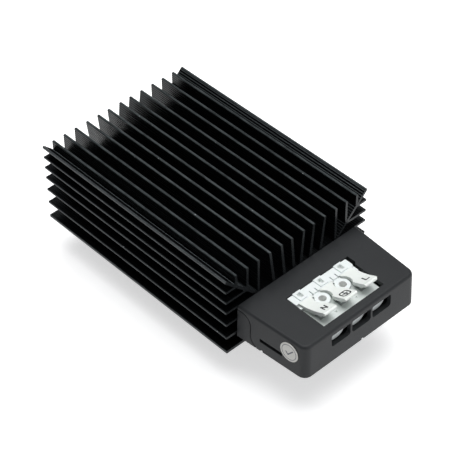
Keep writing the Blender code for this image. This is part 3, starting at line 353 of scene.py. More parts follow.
def paperFinish():
    # printed label stock: warm white, faint fibres
    look = {"white": (0.70, 0.69, 0.655), "light": (0.72, 0.71, 0.675), "fibre": (0.645, 0.635, 0.60)}
    material, tree, _ = newFinish("labelPaper", look["white"], 0.55)
    fibre = noise(tree, pattern(tree, (1.0, 1.0, 0.35)), 3600, 3, 0.6)
    dry = noise(tree, pattern(tree), 900, 2, 0.5)
    mixed = tint(tree, fromNoise(tree, fibre, 0.0, 1.0), look["light"], look["fibre"])
    return dressed(material, mixed, fromNoise(tree, dry, 0.46, 0.64), relief(tree, fibre, 0.006 * mm))


def inkFinish(name, colour, thin):
    # pad-printed ink, a little uneven
    material, tree, shader = newFinish(name, colour, 0.5)
    shader.inputs["Specular IOR Level"].default_value = 0.2
    patch = noise(tree, pattern(tree), 2400, 2, 0.6)
    mixed = tint(tree, spread(tree, patch, 0.45, 0.8, 0.0, 1.0), colour, thin)
    return dressed(material, mixed, fromNoise(tree, patch, 0.42, 0.58))


finishes = {
    "anodised": anodisedFinish(),
    "box": boxFinish(),
    "terminal": whiteFinish("terminalWhitePolyamide", (0.775, 0.820, 0.820), (0.690, 0.733, 0.695),
                            terminalHoles),
    # the levers' copy of the white is lighter and warmer: a warmer tone on the levers, and painted light on
    # their raised tops
    "lever": whiteFinish("leverLightenedWhitePolyamide", (0.835, 0.870, 0.838), (0.715, 0.750, 0.690)),
    "zinc": zincFinish(),
    "spring": drawnMetal("springSteel", (0.46, 0.47, 0.48), (0.34, 0.34, 0.35), 0.30, (1.0, 0.06, 0.06)),
    "copper": drawnMetal("tinnedCopper", (0.70, 0.68, 0.62), (0.58, 0.53, 0.45), 0.32, (1.0, 0.08, 1.0)),
    "aluminium": drawnMetal("bareAluminium", (0.76, 0.77, 0.78), (0.60, 0.61, 0.62), 0.36, (1.0, 0.04, 1.0)),
    "stone": stoneFinish(),
    "film": filmFinish(),
    "plug": rubberFinish("sealingSilicone", (0.050, 0.050, 0.052), (0.075, 0.075, 0.078), 0.62),
    "blue": rubberFinish("blueInsulation", (0.040, 0.14, 0.46), (0.070, 0.19, 0.52), 0.5),
    "brown": rubberFinish("brownInsulation", (0.17, 0.075, 0.030), (0.22, 0.11, 0.050), 0.5),
    "green": rubberFinish("greenInsulation", (0.10, 0.40, 0.08), (0.16, 0.47, 0.11), 0.5),
    "paper": paperFinish(),
    "ink": inkFinish("terminalInk", (0.010, 0.011, 0.013), (0.028, 0.030, 0.034)),
    "stampInk": inkFinish("stampInk", (0.115, 0.120, 0.150), (0.26, 0.265, 0.29)),
}
print("finishes made:", len(finishes))


# tools for pieces

def inScene(name, data):
    item = bpy.data.objects.new(name, data)
    bpy.context.scene.collection.objects.link(item)
    return item


def finalMesh(item):
    # the mesh that an object's modifiers or its curve make
    bpy.context.view_layer.update()
    return bpy.data.meshes.new_from_object(item.evaluated_get(bpy.context.evaluated_depsgraph_get()))


def keepResult(piece, modifier):
    mesh = finalMesh(piece)
    piece.modifiers.remove(modifier)
    piece.data = mesh


def tidyMesh(piece):
    weldDistance = 0.0005 * mm
    bm = bmesh.new()
    bm.from_mesh(piece.data)
    bmesh.ops.remove_doubles(bm, verts=bm.verts, dist=weldDistance)
    bmesh.ops.recalc_face_normals(bm, faces=bm.faces)
    bm.to_mesh(piece.data)
    bm.free()


def flatShapes(name, outlines, start, end):
    # (x, z) outlines filled by a 2D curve and given a thickness along Y
    curve = bpy.data.curves.new(name, "CURVE")
    curve.dimensions = "2D"
    curve.fill_mode = "BOTH"
    curve.extrude = abs(end - start) / 2
    for outline in outlines:
        spline = curve.splines.new("POLY")
        spline.points.add(len(outline) - 1)
        for point, (x, z) in zip(spline.points, outline):
            point.co = (x, z, 0.0, 1.0)
        spline.use_cyclic_u = True
    holder = inScene(name + "Curve", curve)
    mesh = finalMesh(holder)
    mesh.name = name
    bpy.data.objects.remove(holder)
    mesh.transform(Matrix(((1, 0, 0, 0), (0, 0, -1, (start + end) / 2), (0, 1, 0, 0), (0, 0, 0, 1))))
    piece = inScene(name, mesh)
    tidyMesh(piece)
    return piece


def mergeFlat(bm):
    # flat neighbours become one face where they meet along a single run of edges, so that holes stay open;
    # long edges go first, which leaves the short ones as bridges to the holes
    flat = math.radians(0.7)
    inside = [edge for edge in bm.edges if len(edge.link_faces) == 2 and edge.calc_face_angle() < flat]
    for edge in sorted(inside, key=lambda edge: -edge.calc_length()):
        if not edge.is_valid or len(edge.link_faces) != 2:
            continue
        first, second = edge.link_faces
        shared = [other for other in first.edges if second in other.link_faces]
        if len(set(first.verts) & set(second.verts)) == len(shared) + 1:
            bmesh.utils.face_join((first, second), True)
    straight = [vertex for vertex in bm.verts
                if len(vertex.link_edges) == 2 and vertex.calc_edge_angle() < flat]
    bmesh.ops.dissolve_verts(bm, verts=straight)


def copyOfNode(node, name):
    # a welded copy of a CAD node, its flat faces made whole again
    weldDistance, tinyEdge = 0.001 * mm, 0.055 * mm
    bm = bmesh.new()
    bm.from_mesh(nodes[node].data)
    bmesh.ops.remove_doubles(bm, verts=bm.verts, dist=weldDistance)
    mergeFlat(bm)
    # a single tiny edge would keep every rounding as small as itself
    bmesh.ops.remove_doubles(bm, verts=bm.verts, dist=tinyEdge)
    mesh = bpy.data.meshes.new(name)
    bm.to_mesh(mesh)
    bm.free()
    return inScene(name, mesh)


def softened(piece, width, segments=2, angle=38.0, left=None):
    # rounds the edges sharper than an angle, apart from those left sharp
    bm = bmesh.new()
    bm.from_mesh(piece.data)
    weight = bm.edges.layers.float.new("bevel_weight_edge")
    for edge in bm.edges:
        if len(edge.link_faces) == 2 and edge.calc_face_angle() > math.radians(angle):
            edge[weight] = 0.0 if left and left((edge.verts[0].co + edge.verts[1].co) / 2) else 1.0
    bm.to_mesh(piece.data)
    bm.free()
    rounding = piece.modifiers.new("rounding", "BEVEL")
    rounding.width = width
    rounding.segments = segments
    rounding.limit_method = "WEIGHT"
    rounding.miter_outer = "MITER_ARC"
    keepResult(piece, rounding)
    return piece


def evenShading(piece):
    # keeps the large flat faces flat in their shading, up to the rounded edges
    even = piece.modifiers.new("evenShading", "WEIGHTED_NORMAL")
    even.keep_sharp = True
    keepResult(piece, even)


# copies of CAD nodes with softened edges: node, finish, body, slot, width in mm, segments
softPieces = {
    "boxCover": ("connection_cover", "box", "heater", "plastic", 0.22, 3),
    "boxBase": ("connection_base", "box", "heater", "plastic", 0.20, 2),
    "terminalBody": ("terminal_block", "terminal", "heater", "white", 0.14, 2),
    "leverNeutral": ("lever_neutral", "lever", "lever_neutral_body", "white", 0.20, 3),
    "leverEarth": ("lever_earth", "lever", "lever_earth_body", "white", 0.20, 3),
    "leverLive": ("lever_live", "lever", "lever_live_body", "white", 0.20, 3),
    "railBracket": ("rail_bracket", "zinc", "heater", "steel", 0.12, 2),
    "railLatch": ("rail_latch", "spring", "heater", "spring", 0.10, 2),
}


def placed(piece, finish, body, replaced=(), sharp=32.0):
    piece.data.materials.clear()
    piece.data.materials.append(finishes[finish])
    piece.data.shade_smooth()
    piece.data.set_sharp_from_angle(angle=math.radians(sharp))
    if piece.name in softPieces:
        evenShading(piece)
    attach(piece, body)
    if replaced:
        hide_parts(*replaced)
    return piece


def grown(name, seed, tree, values):
    # runs a geometry tree on a seed mesh and keeps the result as a plain mesh
    holder = inScene(name + "Seed", seed)
    modifier = holder.modifiers.new("tree", "NODES")
    modifier.node_group = tree
    for item in tree.interface.items_tree:
        if item.item_type == "SOCKET" and item.in_out == "INPUT" and item.name in values:
            modifier[item.identifier] = values[item.name]
    mesh = finalMesh(holder)
    mesh.name = name
    bpy.data.objects.remove(holder)
    return inScene(name, mesh)


def newTree(name, numbers):
    # a geometry tree with named numbers and a finish
    tree = bpy.data.node_groups.new(name, "GeometryNodeTree")
    sockets = [("Geometry", "NodeSocketGeometry"), *((label, "NodeSocketFloat") for label in numbers),
               ("Finish", "NodeSocketMaterial")]
    for label, kind in sockets:
        tree.interface.new_socket(label, in_out="INPUT", socket_type=kind)
    tree.interface.new_socket("Geometry", in_out="OUTPUT", socket_type="NodeSocketGeometry")
    return tree, tree.nodes.new("NodeGroupInput").outputs


def closeTree(tree, given, shape):
    real = addNode(tree, "GeometryNodeRealizeInstances", [("Geometry", shape)]).outputs["Geometry"]
    paint = addNode(tree, "GeometryNodeSetMaterial", [("Geometry", real), ("Material", given["Finish"])])
    addNode(tree, "NodeGroupOutput", [("Geometry", paint.outputs["Geometry"])])
    return tree


def attribute(tree, name, kind="FLOAT"):
    node = addNode(tree, "GeometryNodeInputNamedAttribute", [("Name", name)], data_type=kind)
    return node.outputs["Attribute"]


def joined(tree, shapes):
    values = [("Geometry", shape) for shape in shapes]
    return addNode(tree, "GeometryNodeJoinGeometry", values).outputs["Geometry"]


def moved(tree, shape, *values):
    return addNode(tree, "GeometryNodeTransform", [("Geometry", shape), *values]).outputs["Geometry"]


def instances(tree, points, shape, *values):
    values = [("Points", points), ("Instance", shape), *values]
    return addNode(tree, "GeometryNodeInstanceOnPoints", values).outputs["Instances"]


def swept(tree, path, outline, *values):
    values = [("Curve", path), ("Profile Curve", outline), *values]
    return addNode(tree, "GeometryNodeCurveToMesh", values).outputs["Mesh"]


def circle(tree, sides, radius):
    values = [("Resolution", sides), ("Radius", radius)]
    return addNode(tree, "GeometryNodeCurvePrimitiveCircle", values).outputs["Curve"]


# finned profile, in profile coordinates: x across, z above its underside

profile = {"half": 35.0 * mm, "height": 35.5 * mm, "plate": 1.2 * mm, "blockHalf": 17.0 * mm,
           "blockTop": 20.0 * mm, "finTip": 1.0 * mm, "finRoot": 1.4 * mm, "armThickness": 1.0 * mm,
           "armRoot": 17.3 * mm, "armEnd": 35.3 * mm, "channelHalf": 12.5 * mm, "channelLow": 7.5 * mm,
           "channelHigh": 15.5 * mm, "port": (14.8 * mm, 11.2 * mm, 1.8 * mm), "portSides": 28,
           "corner": 0.18 * mm, "tipCorner": 0.12 * mm, "plateRoot": 0.5 * mm, "armCorner": 0.4 * mm,
           "channelCorner": 0.2 * mm, "edge": 0.12 * mm,
           "topFins": [(3.0, 5.0), (8.05, 6.3), (13.6, 7.5)], "armFins": [29.9, 24.55, 19.2],
           "armSideFins": [30.0, 25.0, 20.0], "blockSideFins": [14.05, 7.65],
           "armInset": 0.42 * mm, "armRidged": 1.12 * mm, "armRidges": 2.0, "ridgePitch": 1.0 * mm,
           "ridgeDepth": 0.09 * mm, "ridgeStep": 0.125 * mm, "sunk": 0.35 * mm, "sunkInArm": 1.5,
           "tipDrop": 0.035 * mm, "tipRounding": 0.25 * mm, "bluntTip": 0.45, "weld": 0.002 * mm,
           "endPlay": 0.02 * mm}


def armLine(side):
    # slope of the arms, and how far their upper (1) or lower (-1) face lies above the middle
    slope = (profile["armEnd"] - profile["armRoot"]) / (profile["half"] - profile["blockHalf"])
    return slope, side * profile["armThickness"] / 2 * math.hypot(1, slope)


def armLevel(place, side):
    slope, shift = armLine(side)
    return profile["armRoot"] + shift + slope * (place - profile["blockHalf"])


def armPlaceAt(level, side):
    slope, shift = armLine(side)
    return profile["blockHalf"] + (level - profile["armRoot"] - shift) / slope


def roundedCorners(corners):
    # an outline from corners, each given as (point, radius)
    steps = 4
    points = []
    for index, (corner, radius) in enumerate(corners):
        here = Vector(corner)
        before = (Vector(corners[index - 1][0]) - here).normalized()
        after = (Vector(corners[(index + 1) % len(corners)][0]) - here).normalized()
        half = before.angle(after) / 2
        centre = here + (before + after).normalized() * radius / math.sin(half)
        first = here + before * radius / math.tan(half) - centre
        last = here + after * radius / math.tan(half) - centre
        sweep = first.angle_signed(last)
        for step in range(steps + 1):
            points.append(centre + Matrix.Rotation(-sweep * step / steps, 2) @ first)
    return [(x, under + z) for x, z in points]


def coreOutline():
    half, block, top = profile["half"], profile["blockHalf"], profile["blockTop"]
    plate, height = profile["plate"], profile["height"]
    corner, tipCorner, armCorner = profile["corner"], profile["tipCorner"], profile["armCorner"]
    right = [((half, 0.0), corner), ((half, plate), corner), ((block, plate), profile["plateRoot"]),
             ((block, armLevel(block, -1)), armCorner), ((half, armLevel(half, -1)), tipCorner),
             ((half, height), corner), ((armPlaceAt(height, 1), height), tipCorner),
             ((armPlaceAt(top, 1), top), armCorner)]
    left = [((-x, z), radius) for (x, z), radius in reversed(right)]
    return roundedCorners(right + left)


def ring(x, z, radius, count):
    turns = [2 * math.pi * i / count for i in range(count)]
    return [(x + radius * math.cos(turn), under + z + radius * math.sin(turn)) for turn in turns]


def makeCore():
    half, low, high = profile["channelHalf"], profile["channelLow"], profile["channelHigh"]
    corners = ((-half, low), (half, low), (half, high), (-half, high))
    channel = roundedCorners([(corner, profile["channelCorner"]) for corner in corners])
    x, z, radius = profile["port"]
    ports = [ring(side * x, z, radius, profile["portSides"]) for side in (-1, 1)]
    core = flatShapes("profileCore", [coreOutline(), channel, *ports], joint, joint + length)
    softened(core, profile["edge"], 2, 60)
    return placed(core, "anodised", "heater", ("finned_profile",))


def finLines():
    # every fin seen from the end: root, tip, thickness at root and at tip, share of the ridge depth
    lines = []
    block, blockTop, half = profile["blockHalf"], profile["blockTop"], profile["half"]
    rise = profile["height"] - blockTop
    sunk, tip, root = profile["sunk"], profile["finTip"], profile["finRoot"]
    deeper, lowTip = sunk * profile["sunkInArm"], profile["height"] - profile["tipDrop"]
    for side in (-1, 1):
        for place, lean in profile["topFins"]:
            foot = place * mm - rise * math.tan(math.radians(lean))
            lines.append(((side * foot, blockTop - sunk), (side * place * mm, lowTip), root, tip, 1.0))
        for place in profile["armFins"]:
            foot = max(blockTop, armLevel(place * mm, 1)) - deeper
            across = side * place * mm
            lines.append(((across, foot), (across, profile["height"]), tip, tip, 1.0))
        lines.append(((side * (block - sunk), profile["armRoot"] - sunk),
                      (side * (half - profile["armInset"]), profile["armEnd"] - profile["armInset"]),
                      profile["armRidged"], profile["armRidged"], profile["armRidges"]))
        for level in profile["armSideFins"]:
            foot = max(block, armPlaceAt(level * mm, -1)) - deeper
            lines.append(((side * foot, level * mm), (side * half, level * mm), tip, tip, 1.0))
        for level in profile["blockSideFins"]:
            lines.append(((side * (block - sunk), level * mm), (side * half, level * mm), root, tip, 1.0))
    return lines


def serratedFins():
    # each seed edge is a fin seen from the end: its faces get ridges, and it is drawn out along Y
    tree, given = newTree("serratedFins", ("Length", "Ridge pitch", "Ridge depth", "Step", "Tip rounding"))
    line = addNode(tree, "GeometryNodeMeshToCurve", [(0, given["Geometry"])]).outputs["Curve"]
    cuts = addNode(tree, "GeometryNodeResampleCurve", [("Curve", line), ("Length", given["Step"])],
                   mode="LENGTH").outputs["Curve"]
    along = addNode(tree, "GeometryNodeSplineParameter").outputs["Length"]
    fromTip = minus(tree, addNode(tree, "GeometryNodeSplineLength").outputs["Length"], along)
    wave = maths(tree, "PINGPONG", maths(tree, "DIVIDE", fromTip, given["Ridge pitch"]), 0.5)
    depth = times(tree, times(tree, given["Ridge depth"], 2.0), attribute(tree, "ridges"))
    plain = plus(tree, attribute(tree, "halfThickness"), times(tree, minus(tree, wave, 0.25), depth))
    near = maths(tree, "MINIMUM", maths(tree, "DIVIDE", fromTip, given["Tip rounding"]), 1.0)
    bow = maths(tree, "SQRT", times(tree, near, minus(tree, 2.0, near)))
    blunt = profile["bluntTip"]
    crown = plus(tree, times(tree, bow, 1.0 - blunt), blunt)
    width = addNode(tree, "GeometryNodeCurvePrimitiveLine", [("Start", (0, -1, 0)), ("End", (0, 1, 0))])
    forward = combined(tree, 0.0, 1.0, 0.0)
    normal = addNode(tree, "GeometryNodeSetCurveNormal", [("Curve", cuts), ("Normal", forward)], mode="FREE")
    strip = swept(tree, normal.outputs["Curve"], width.outputs["Curve"], ("Scale", times(tree, plain, crown)))
    drawn = addNode(tree, "GeometryNodeExtrudeMesh", [
        ("Individual", False), ("Mesh", strip), ("Offset", forward), ("Offset Scale", given["Length"])])
    flipped = addNode(tree, "GeometryNodeFlipFaces", [("Mesh", strip)])
    both = joined(tree, (drawn.outputs["Mesh"], flipped.outputs["Mesh"]))
    weld = addNode(tree, "GeometryNodeMergeByDistance", [("Geometry", both), ("Distance", profile["weld"])])
    return closeTree(tree, given, weld.outputs["Geometry"])


def makeFins():
    seed = bpy.data.meshes.new("finSeed")
    points, edges, thickness, ridges = [], [], [], []
    for root, tip, rootThickness, tipThickness, share in finLines():
        edges.append((len(points), len(points) + 1))
        points += [(x, joint + profile["endPlay"], under + z) for x, z in (root, tip)]
        thickness += [rootThickness / 2, tipThickness / 2]
        ridges += [share, share]
    seed.from_pydata(points, edges, [])
    seed.attributes.new("halfThickness", "FLOAT", "POINT").data.foreach_set("value", thickness)
    seed.attributes.new("ridges", "FLOAT", "POINT").data.foreach_set("value", ridges)
    fins = grown("finBank", seed, serratedFins(), {
        "Length": length - 2 * profile["endPlay"], "Ridge pitch": profile["ridgePitch"],
        "Ridge depth": profile["ridgeDepth"], "Step": profile["ridgeStep"],
        "Tip rounding": profile["tipRounding"], "Finish": finishes["anodised"]})
    tidyMesh(fins)
    return placed(fins, "anodised", "heater", ("finned_profile",), 25.0)


makeCore()
fins = makeFins()
print("profile made:", len(fins.data.polygons), "faces in the fins")


# connection box, terminal and levers, bracket and latch: copies of the CAD with softened edges

rootJoint = {"lever": joint - 14.5 * mm, "bar": joint - 14.2 * mm, "margin": 0.06 * mm, "reach": 0.28 * mm,
             "step": 0.10 * mm, "top": under + 20.3 * mm}


def atRootJoint(place):
    # the line along which the levers meet the terminal's bar
    return rootJoint["lever"] - rootJoint["margin"] < place.y < rootJoint["bar"] + rootJoint["margin"]


for name, (node, finish, body, slot, width, segments) in softPieces.items():
    piece = copyOfNode(node, name)
    if name.startswith("lever"):
        # the levers' roots reach up to the bar, a little lower than its top
        for vertex in piece.data.vertices:
            if vertex.co.y > rootJoint["lever"] - rootJoint["margin"]:
                vertex.co.y += rootJoint["reach"]
                vertex.co.z -= rootJoint["step"] if vertex.co.z > rootJoint["top"] else 0.0
    left = atRootJoint if slot == "white" else None
    placed(softened(piece, width * mm, segments, left=left), finish, body, (node,))
print("softened pieces made:", len(softPieces))


# printed marks

ink = {"step": 0.16 * mm, "lift": 0.03 * mm, "sharpest": 0.5}


def inkPath(stroke, closed):
    # a stroke's points, close enough to follow a curved surface
    path = []
    for index in range(len(stroke) if closed else len(stroke) - 1):
        first, last = Vector(stroke[index]), Vector(stroke[(index + 1) % len(stroke)])
        steps = max(1, round((last - first).length / ink["step"]))
        path += [first.lerp(last, step / steps) for step in range(steps)]
    return path if closed else [*path, Vector(stroke[-1])]


def inkPiece(name, strokes, closed, width, place, finish, body):
    # flat strokes laid on a surface; place(u, v, lift) gives the point in space
    points, faces = [], []
    for stroke in strokes:
        path = inkPath(stroke, closed)
        total, start = len(path), len(points)
        for index, here in enumerate(path):
            ahead = path[(index + 1) % total] if closed else path[min(index + 1, total - 1)]
            behind = path[index - 1] if closed or index else path[0]
            into, away = here - behind, ahead - here
            into = into.normalized() if into.length else away.normalized()
            away = away.normalized() if away.length else into
            mean = (into + away).normalized()
            reach = width / 2 / max(ink["sharpest"], mean.dot(away))
            side = Vector((-mean.y, mean.x)) * reach
            for edge in (here + side, here - side):
                for lift in (ink["lift"], -ink["lift"]):
                    points.append(tuple(place(edge.x, edge.y, lift)))
        for index in range(total if closed else total - 1):
            near, far = start + 4 * index, start + 4 * ((index + 1) % total)
            faces += [(near, far, far + 2, near + 2), (near + 1, near + 3, far + 3, far + 1),
                      (near, near + 1, far + 1, far), (near + 2, far + 2, far + 3, near + 3)]
        if not closed:
            end = start + 4 * (total - 1)
            faces += [(start, start + 2, start + 3, start + 1), (end, end + 1, end + 3, end + 2)]
    mesh = bpy.data.meshes.new(name)
    mesh.from_pydata(points, [], faces)
    piece = inScene(name, mesh)
    tidyMesh(piece)
    return placed(piece, finish, body)


leverTop = {"root": -14.5 * mm, "front": -27.0 * mm, "height": 20.7 * mm, "lift": 1.25 * mm, "curl": 3.2 * mm}
earthMark = {"x": -0.1, "y": -23.5, "halfWidth": 1.72, "halfHeight": 1.50, "corner": 0.85, "stemEnd": 0.10,
             "bars": ((1.20, 0.08), (0.75, -0.47), (0.35, -0.98))}


def onLever(u, v, lift):
    share = (leverTop["root"] - v) / (leverTop["root"] - leverTop["front"])
    height = leverTop["height"] + leverTop["lift"] * share + leverTop["curl"] * share ** 2
    return Vector((u, joint + v, under + height + lift))


def arcPoints(x, y, radius, first, last, steps=6):
    turns = [math.radians(first + (last - first) * i / steps) for i in range(steps + 1)]
    return [(x + radius * math.cos(turn), y + radius * math.sin(turn)) for turn in turns]


def leverMarks():
    # (piece, pole, strokes, closed, stroke width) for each mark, in mm
    letterN = [[(-11.2, -24.6), (-10.75, -22.0)], [(-10.75, -22.0), (-9.6, -24.6)],
               [(-9.6, -24.6), (-9.15, -22.0)]]
    letterL = [[(10.1, -21.8), (9.85, -24.1), (11.6, -24.1)]]
    x, y, corner = earthMark["x"], earthMark["y"], earthMark["corner"]
    across, up = earthMark["halfWidth"] - corner, earthMark["halfHeight"] - corner
    frameLine = [point for turn, (right, top) in enumerate(((1, 1), (-1, 1), (-1, -1), (1, -1)))
                 for point in arcPoints(x + right * across, y + top * up, corner, 90 * turn, 90 * turn + 90)]
    sign = [[(x, y + earthMark["halfHeight"]), (x, y + earthMark["stemEnd"])]]
    sign += [[(x - half, y + level), (x + half, y + level)] for half, level in earthMark["bars"]]
    return [("markNeutral", "neutral", letterN, False, 0.50), ("markLive", "live", letterL, False, 0.55),
            ("markEarth", "earth", [frameLine], True, 0.50), ("markEarthSign", "earth", sign, False, 0.38)]


for name, pole, strokes, closed, width in leverMarks():
    strokes = [[(u * mm, v * mm) for u, v in stroke] for stroke in strokes]
    inkPiece(name, strokes, closed, width * mm, onLever, "ink", f"lever_{pole}_body")

sticker = {"taper": math.atan((29.75 - 27.5) / 32.0), "draft": math.atan(0.4 / 14.75), "lift": 0.10 * mm,
           "inkShare": 0.8, "ringRadius": 3.2 * mm, "ringEnd": 352.5, "ringSteps": 47, "ringWidth": 0.22 * mm,
           "tickWidth": 0.45 * mm,
           "tick": [(-1.5 * mm, -0.1 * mm), (-0.45 * mm, -1.25 * mm), (1.75 * mm, 1.35 * mm)]}
stickerLow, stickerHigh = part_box("inspection_sticker")
stickerMiddle = (stickerLow + stickerHigh) / 2
taper, draft = sticker["taper"], sticker["draft"]
stickerOut = Vector((-math.cos(taper), -math.sin(taper), math.sin(draft))).normalized()
stickerUp = (Vector((0, 0, 1)) - stickerOut * stickerOut.z).normalized()
stickerSide = stickerUp.cross(stickerOut)


def onSticker(u, v, lift):
    out = sticker["lift"] + lift * sticker["inkShare"]
    return stickerMiddle + stickerSide * u + stickerUp * v + stickerOut * out


ringLine = arcPoints(0, 0, sticker["ringRadius"], 0, sticker["ringEnd"], sticker["ringSteps"])
for name, line, closed, width in (("stickerRing", ringLine, True, sticker["ringWidth"]),
                                  ("stickerTick", sticker["tick"], False, sticker["tickWidth"])):
    inkPiece(name, [line], closed, width, onSticker, "stampInk", "heater")
print("marks printed")


# screws

screw = {"Head radius": 2.9 * mm, "Head height": 1.8 * mm, "Shank radius": 1.5 * mm, "Thread pitch": 0.7 * mm,
         "Recess width": 0.7 * mm}
# shares of those sizes, the head's counts and the thread's turns
screwShape = {"dome": 3.2, "rim": 0.30, "headCuts": 12, "headSides": 40, "recessReach": 1.15,
              "recessMiddle": 0.93, "core": 0.86, "coreSides": 24, "threadMiddle": 0.90, "threadRadius": 0.30,
              "turns": 6.0, "turnSteps": 20, "threadSides": 4}


def crossHead(tree, given):
    # a domed head, turned about its axis, with a cross carved into it
    top = combined(tree, 0.0, 0.0, given["Head height"])
    line = addNode(tree, "GeometryNodeCurvePrimitiveLine", [("End", top)]).outputs["Curve"]
    fine = addNode(tree, "GeometryNodeResampleCurve", [("Curve", line), ("Count", screwShape["headCuts"])],
                   mode="COUNT").outputs["Curve"]
    share = addNode(tree, "GeometryNodeSplineParameter").outputs["Factor"]
    dome = maths(tree, "SQRT", minus(tree, 1.0, maths(tree, "POWER", share, screwShape["dome"])))
    swell = times(tree, given["Head radius"], larger(tree, dome, screwShape["rim"]))
    rim = circle(tree, screwShape["headSides"], 1.0)
    skin = swept(tree, fine, rim, ("Fill Caps", True), ("Scale", swell))
    reach = times(tree, given["Head radius"], screwShape["recessReach"])
    lift = combined(tree, 0.0, 0.0, times(tree, given["Head height"], screwShape["recessMiddle"]))
    bars = []
    for sizes in ((given["Recess width"], reach), (reach, given["Recess width"])):
        size = combined(tree, *sizes, given["Head height"])
        bar = addNode(tree, "GeometryNodeMeshCube", [("Size", size)]).outputs["Mesh"]
        bars.append(moved(tree, bar, ("Translation", lift)))
    carve = addNode(tree, "GeometryNodeMeshBoolean", [("Mesh 1", skin), ("Mesh 2", joined(tree, bars))],
                    operation="DIFFERENCE")
    return carve.outputs["Mesh"]


def threadShape(tree, given):
    # a square wire wound round the shank, below the head
    radius = times(tree, given["Shank radius"], screwShape["threadMiddle"])
    helix = addNode(tree, "GeometryNodeCurveSpiral", [
        ("Resolution", screwShape["turnSteps"]), ("Rotations", screwShape["turns"]), ("Height", 1.0),
        ("Start Radius", radius), ("End Radius", radius)])
    pitch = given["Thread pitch"]
    crest = circle(tree, screwShape["threadSides"], times(tree, pitch, screwShape["threadRadius"]))
    stretch = combined(tree, 1.0, 1.0, times(tree, pitch, screwShape["turns"]))
    wound = moved(tree, helix.outputs["Curve"], ("Rotation", (math.pi, 0, 0)), ("Scale", stretch))
    return swept(tree, wound, crest, ("Fill Caps", True))


def crossHeadScrews():
    # a pan head with a cross recess, a shank and a thread, set on every seed point
    tree, given = newTree("crossHeadScrews", screw)
    head = crossHead(tree, given)
    shank = addNode(tree, "GeometryNodeMeshCylinder", [
        ("Vertices", screwShape["coreSides"]), ("Depth", 1.0),
        ("Radius", times(tree, given["Shank radius"], screwShape["core"]))])
    drop = moved(tree, shank.outputs["Mesh"], ("Translation", (0, 0, -0.5)))
    turns = [("Euler", attribute(tree, "turn", "FLOAT_VECTOR"))]
    spin = ("Rotation", addNode(tree, "FunctionNodeEulerToRotation", turns).outputs["Rotation"])
    stretch = ("Scale", combined(tree, 1.0, 1.0, attribute(tree, "shankLength")))
    points = given["Geometry"]
    every = joined(tree, (instances(tree, points, head, spin), instances(tree, points, drop, spin, stretch),
                          instances(tree, points, threadShape(tree, given), spin)))
    return closeTree(tree, given, every)


# turns of the screws' heads; the bracket's point down, the base's point forward
screwTurns = {"bracket_screw_front": (math.pi, 0, 0.3), "bracket_screw_rear": (math.pi, 0, 1.1),
              "base_screw_left": (math.pi / 2, 0, 0), "base_screw_right": (math.pi / 2, 0, 0)}


def makeScrews():
    points, turns, reaches = [], [], []
    head = screw["Head height"]
    for node, turn in screwTurns.items():
        low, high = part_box(node)
        along = 2 if node.startswith("bracket") else 1
        seat = (low + high) / 2
        seat[along] = low[along] + head
        points.append(tuple(seat))
        reaches.append(high[along] - low[along] - head)
        turns += turn
    seed = bpy.data.meshes.new("screwSeed")
    seed.from_pydata(points, [], [])
    seed.attributes.new("turn", "FLOAT_VECTOR", "POINT").data.foreach_set("vector", turns)
    seed.attributes.new("shankLength", "FLOAT", "POINT").data.foreach_set("value", reaches)
    screws = grown("fixingScrews", seed, crossHeadScrews(), {**screw, "Finish": finishes["zinc"]})
    return placed(screws, "zinc", "heater", tuple(screwTurns))


screws = makeScrews()
print("screws made:", len(screws.data.polygons), "faces")


# CAD pieces that stay as they are, only dressed

kept = {
    "stone": ["ptc_stone_1", "ptc_stone_2", "ptc_stone_3", "ptc_stone_4"],
    "film": ["insulating_sleeve"],
    "aluminium": ["lower_electrode", "upper_electrode", "pressure_wedge"],
    "plug": ["channel_plug"],
    "copper": ["contact_bar_neutral", "contact_bar_earth", "contact_bar_live", "earth_lug"],
    "spring": ["clamp_spring_neutral", "clamp_spring_earth", "clamp_spring_live"],
    "blue": ["lead_neutral"], "brown": ["lead_live"], "green": ["lead_earth"],
    "paper": ["inspection_sticker"],
}
for finish, names in kept.items():
    for name in names:
        for slot in nodes[name].material_slots:
            slot.material = finishes[finish]
print("CAD pieces dressed:", sum(len(names) for names in kept.values()))


# floor, lights and camera

room = {"floorHalf": 3.0, "floorColour": (0.80, 0.80, 0.80), "floorRoughness": 0.85, "ownLight": 0.55,
        "air": (0.93, 0.95, 1.0, 1.0), "airLevel": 0.25, "white": (1, 1, 1, 1)}


def makeFloor():
    half = room["floorHalf"]
    corners = [(-half, -half, 0), (half, -half, 0), (half, half, 0), (-half, half, 0)]
    mesh = bpy.data.meshes.new("studioFloor")
    mesh.from_pydata(corners, [], [range(4)])
    floor = inScene("studioFloor", mesh)
    material, tree, shader = newFinish("studioPaper", room["floorColour"], room["floorRoughness"])
    shader.inputs["Specular IOR Level"].default_value = 0.0
    # the floor's own light shows to camera, glossy and transmission rays alone
    rays = addNode(tree, "ShaderNodeLightPath").outputs
    seen = larger(tree, rays["Is Camera Ray"], rays["Is Glossy Ray"])
    seen = larger(tree, seen, rays["Is Transmission Ray"])
    glow = addNode(tree, "ShaderNodeEmission", [("Strength", times(tree, seen, room["ownLight"]))])
    both = addNode(tree, "ShaderNodeAddShader", [(0, shader.outputs[0]), (1, glow.outputs[0])])
    join(tree, both.outputs[0], tree.nodes["Material Output"].inputs["Surface"])
    mesh.materials.append(material)


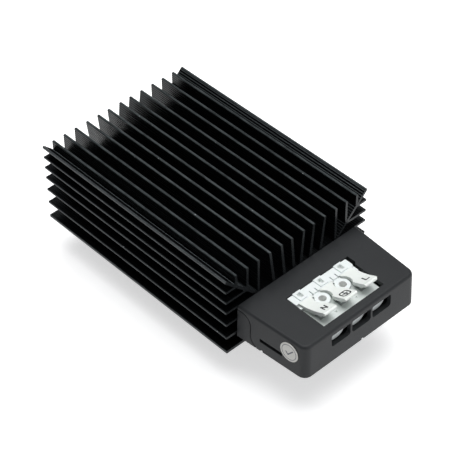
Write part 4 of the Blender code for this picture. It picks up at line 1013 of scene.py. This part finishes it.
def makeAir():
    # soft light from all round, seen as white by the camera
    world = bpy.data.worlds.new("studioAir")
    bpy.context.scene.world = world
    world.use_nodes = True
    tree = world.node_tree
    back = tree.nodes["Background"]
    back.inputs["Color"].default_value = room["air"]
    back.inputs["Strength"].default_value = room["airLevel"]
    white = addNode(tree, "ShaderNodeBackground", [("Color", room["white"]), ("Strength", 1.0)])
    rays = addNode(tree, "ShaderNodeLightPath").outputs
    mix = addNode(tree, "ShaderNodeMixShader", [(0, rays["Is Camera Ray"]), (1, back.outputs[0]),
                                                (2, white.outputs[0])])
    join(tree, mix.outputs[0], tree.nodes["World Output"].inputs["Surface"])


# soft boxes: name, place, target, width and height, power
lights = [("overheadSoftbox", (0.10, 0.05, 0.90), (0, 0, 0.02), (0.9, 0.9), 9.3),
          ("farEndSoftbox", (-0.25, 0.80, 0.28), (0, 0.03, 0.03), (0.6, 0.4), 0.5),
          ("frontFill", (0.25, -0.85, 0.22), (0, 0, 0.03), (0.6, 0.4), 1.7)]


def areaLight(name, place, target, size, power):
    data = bpy.data.lights.new(name, "AREA")
    data.shape = "RECTANGLE"
    data.size, data.size_y = size
    data.energy = power
    lamp = inScene(name, data)
    lamp.location = place
    lamp.rotation_euler = (Vector(target) - Vector(place)).to_track_quat("-Z", "Y").to_euler()


makeFloor()
makeAir()
for light in lights:
    areaLight(*light)

view = {"place": (-0.3198118, -0.3473116, 0.4690181), "lens": 139.634, "sensor": 36.0, "near": 0.01,
        "right": (0.73149786, -0.68171896, -0.01304360), "down": (-0.47025605, -0.49055716, -0.73362996),
        "ahead": (0.49373083, 0.54278258, -0.67942398)}
cameraData = bpy.data.cameras.new("photoCamera")
cameraData.lens = view["lens"]
cameraData.sensor_width = view["sensor"]
cameraData.clip_start = view["near"]
camera = inScene("photoCamera", cameraData)
right, down, ahead = (Vector(view[key]) for key in ("right", "down", "ahead"))
turn = Matrix((right, -down, -ahead)).transposed().to_4x4()
camera.matrix_world = Matrix.Translation(view["place"]) @ turn
bpy.context.scene.camera = camera
bpy.context.scene.view_settings.view_transform = "Standard"
print("stage set")
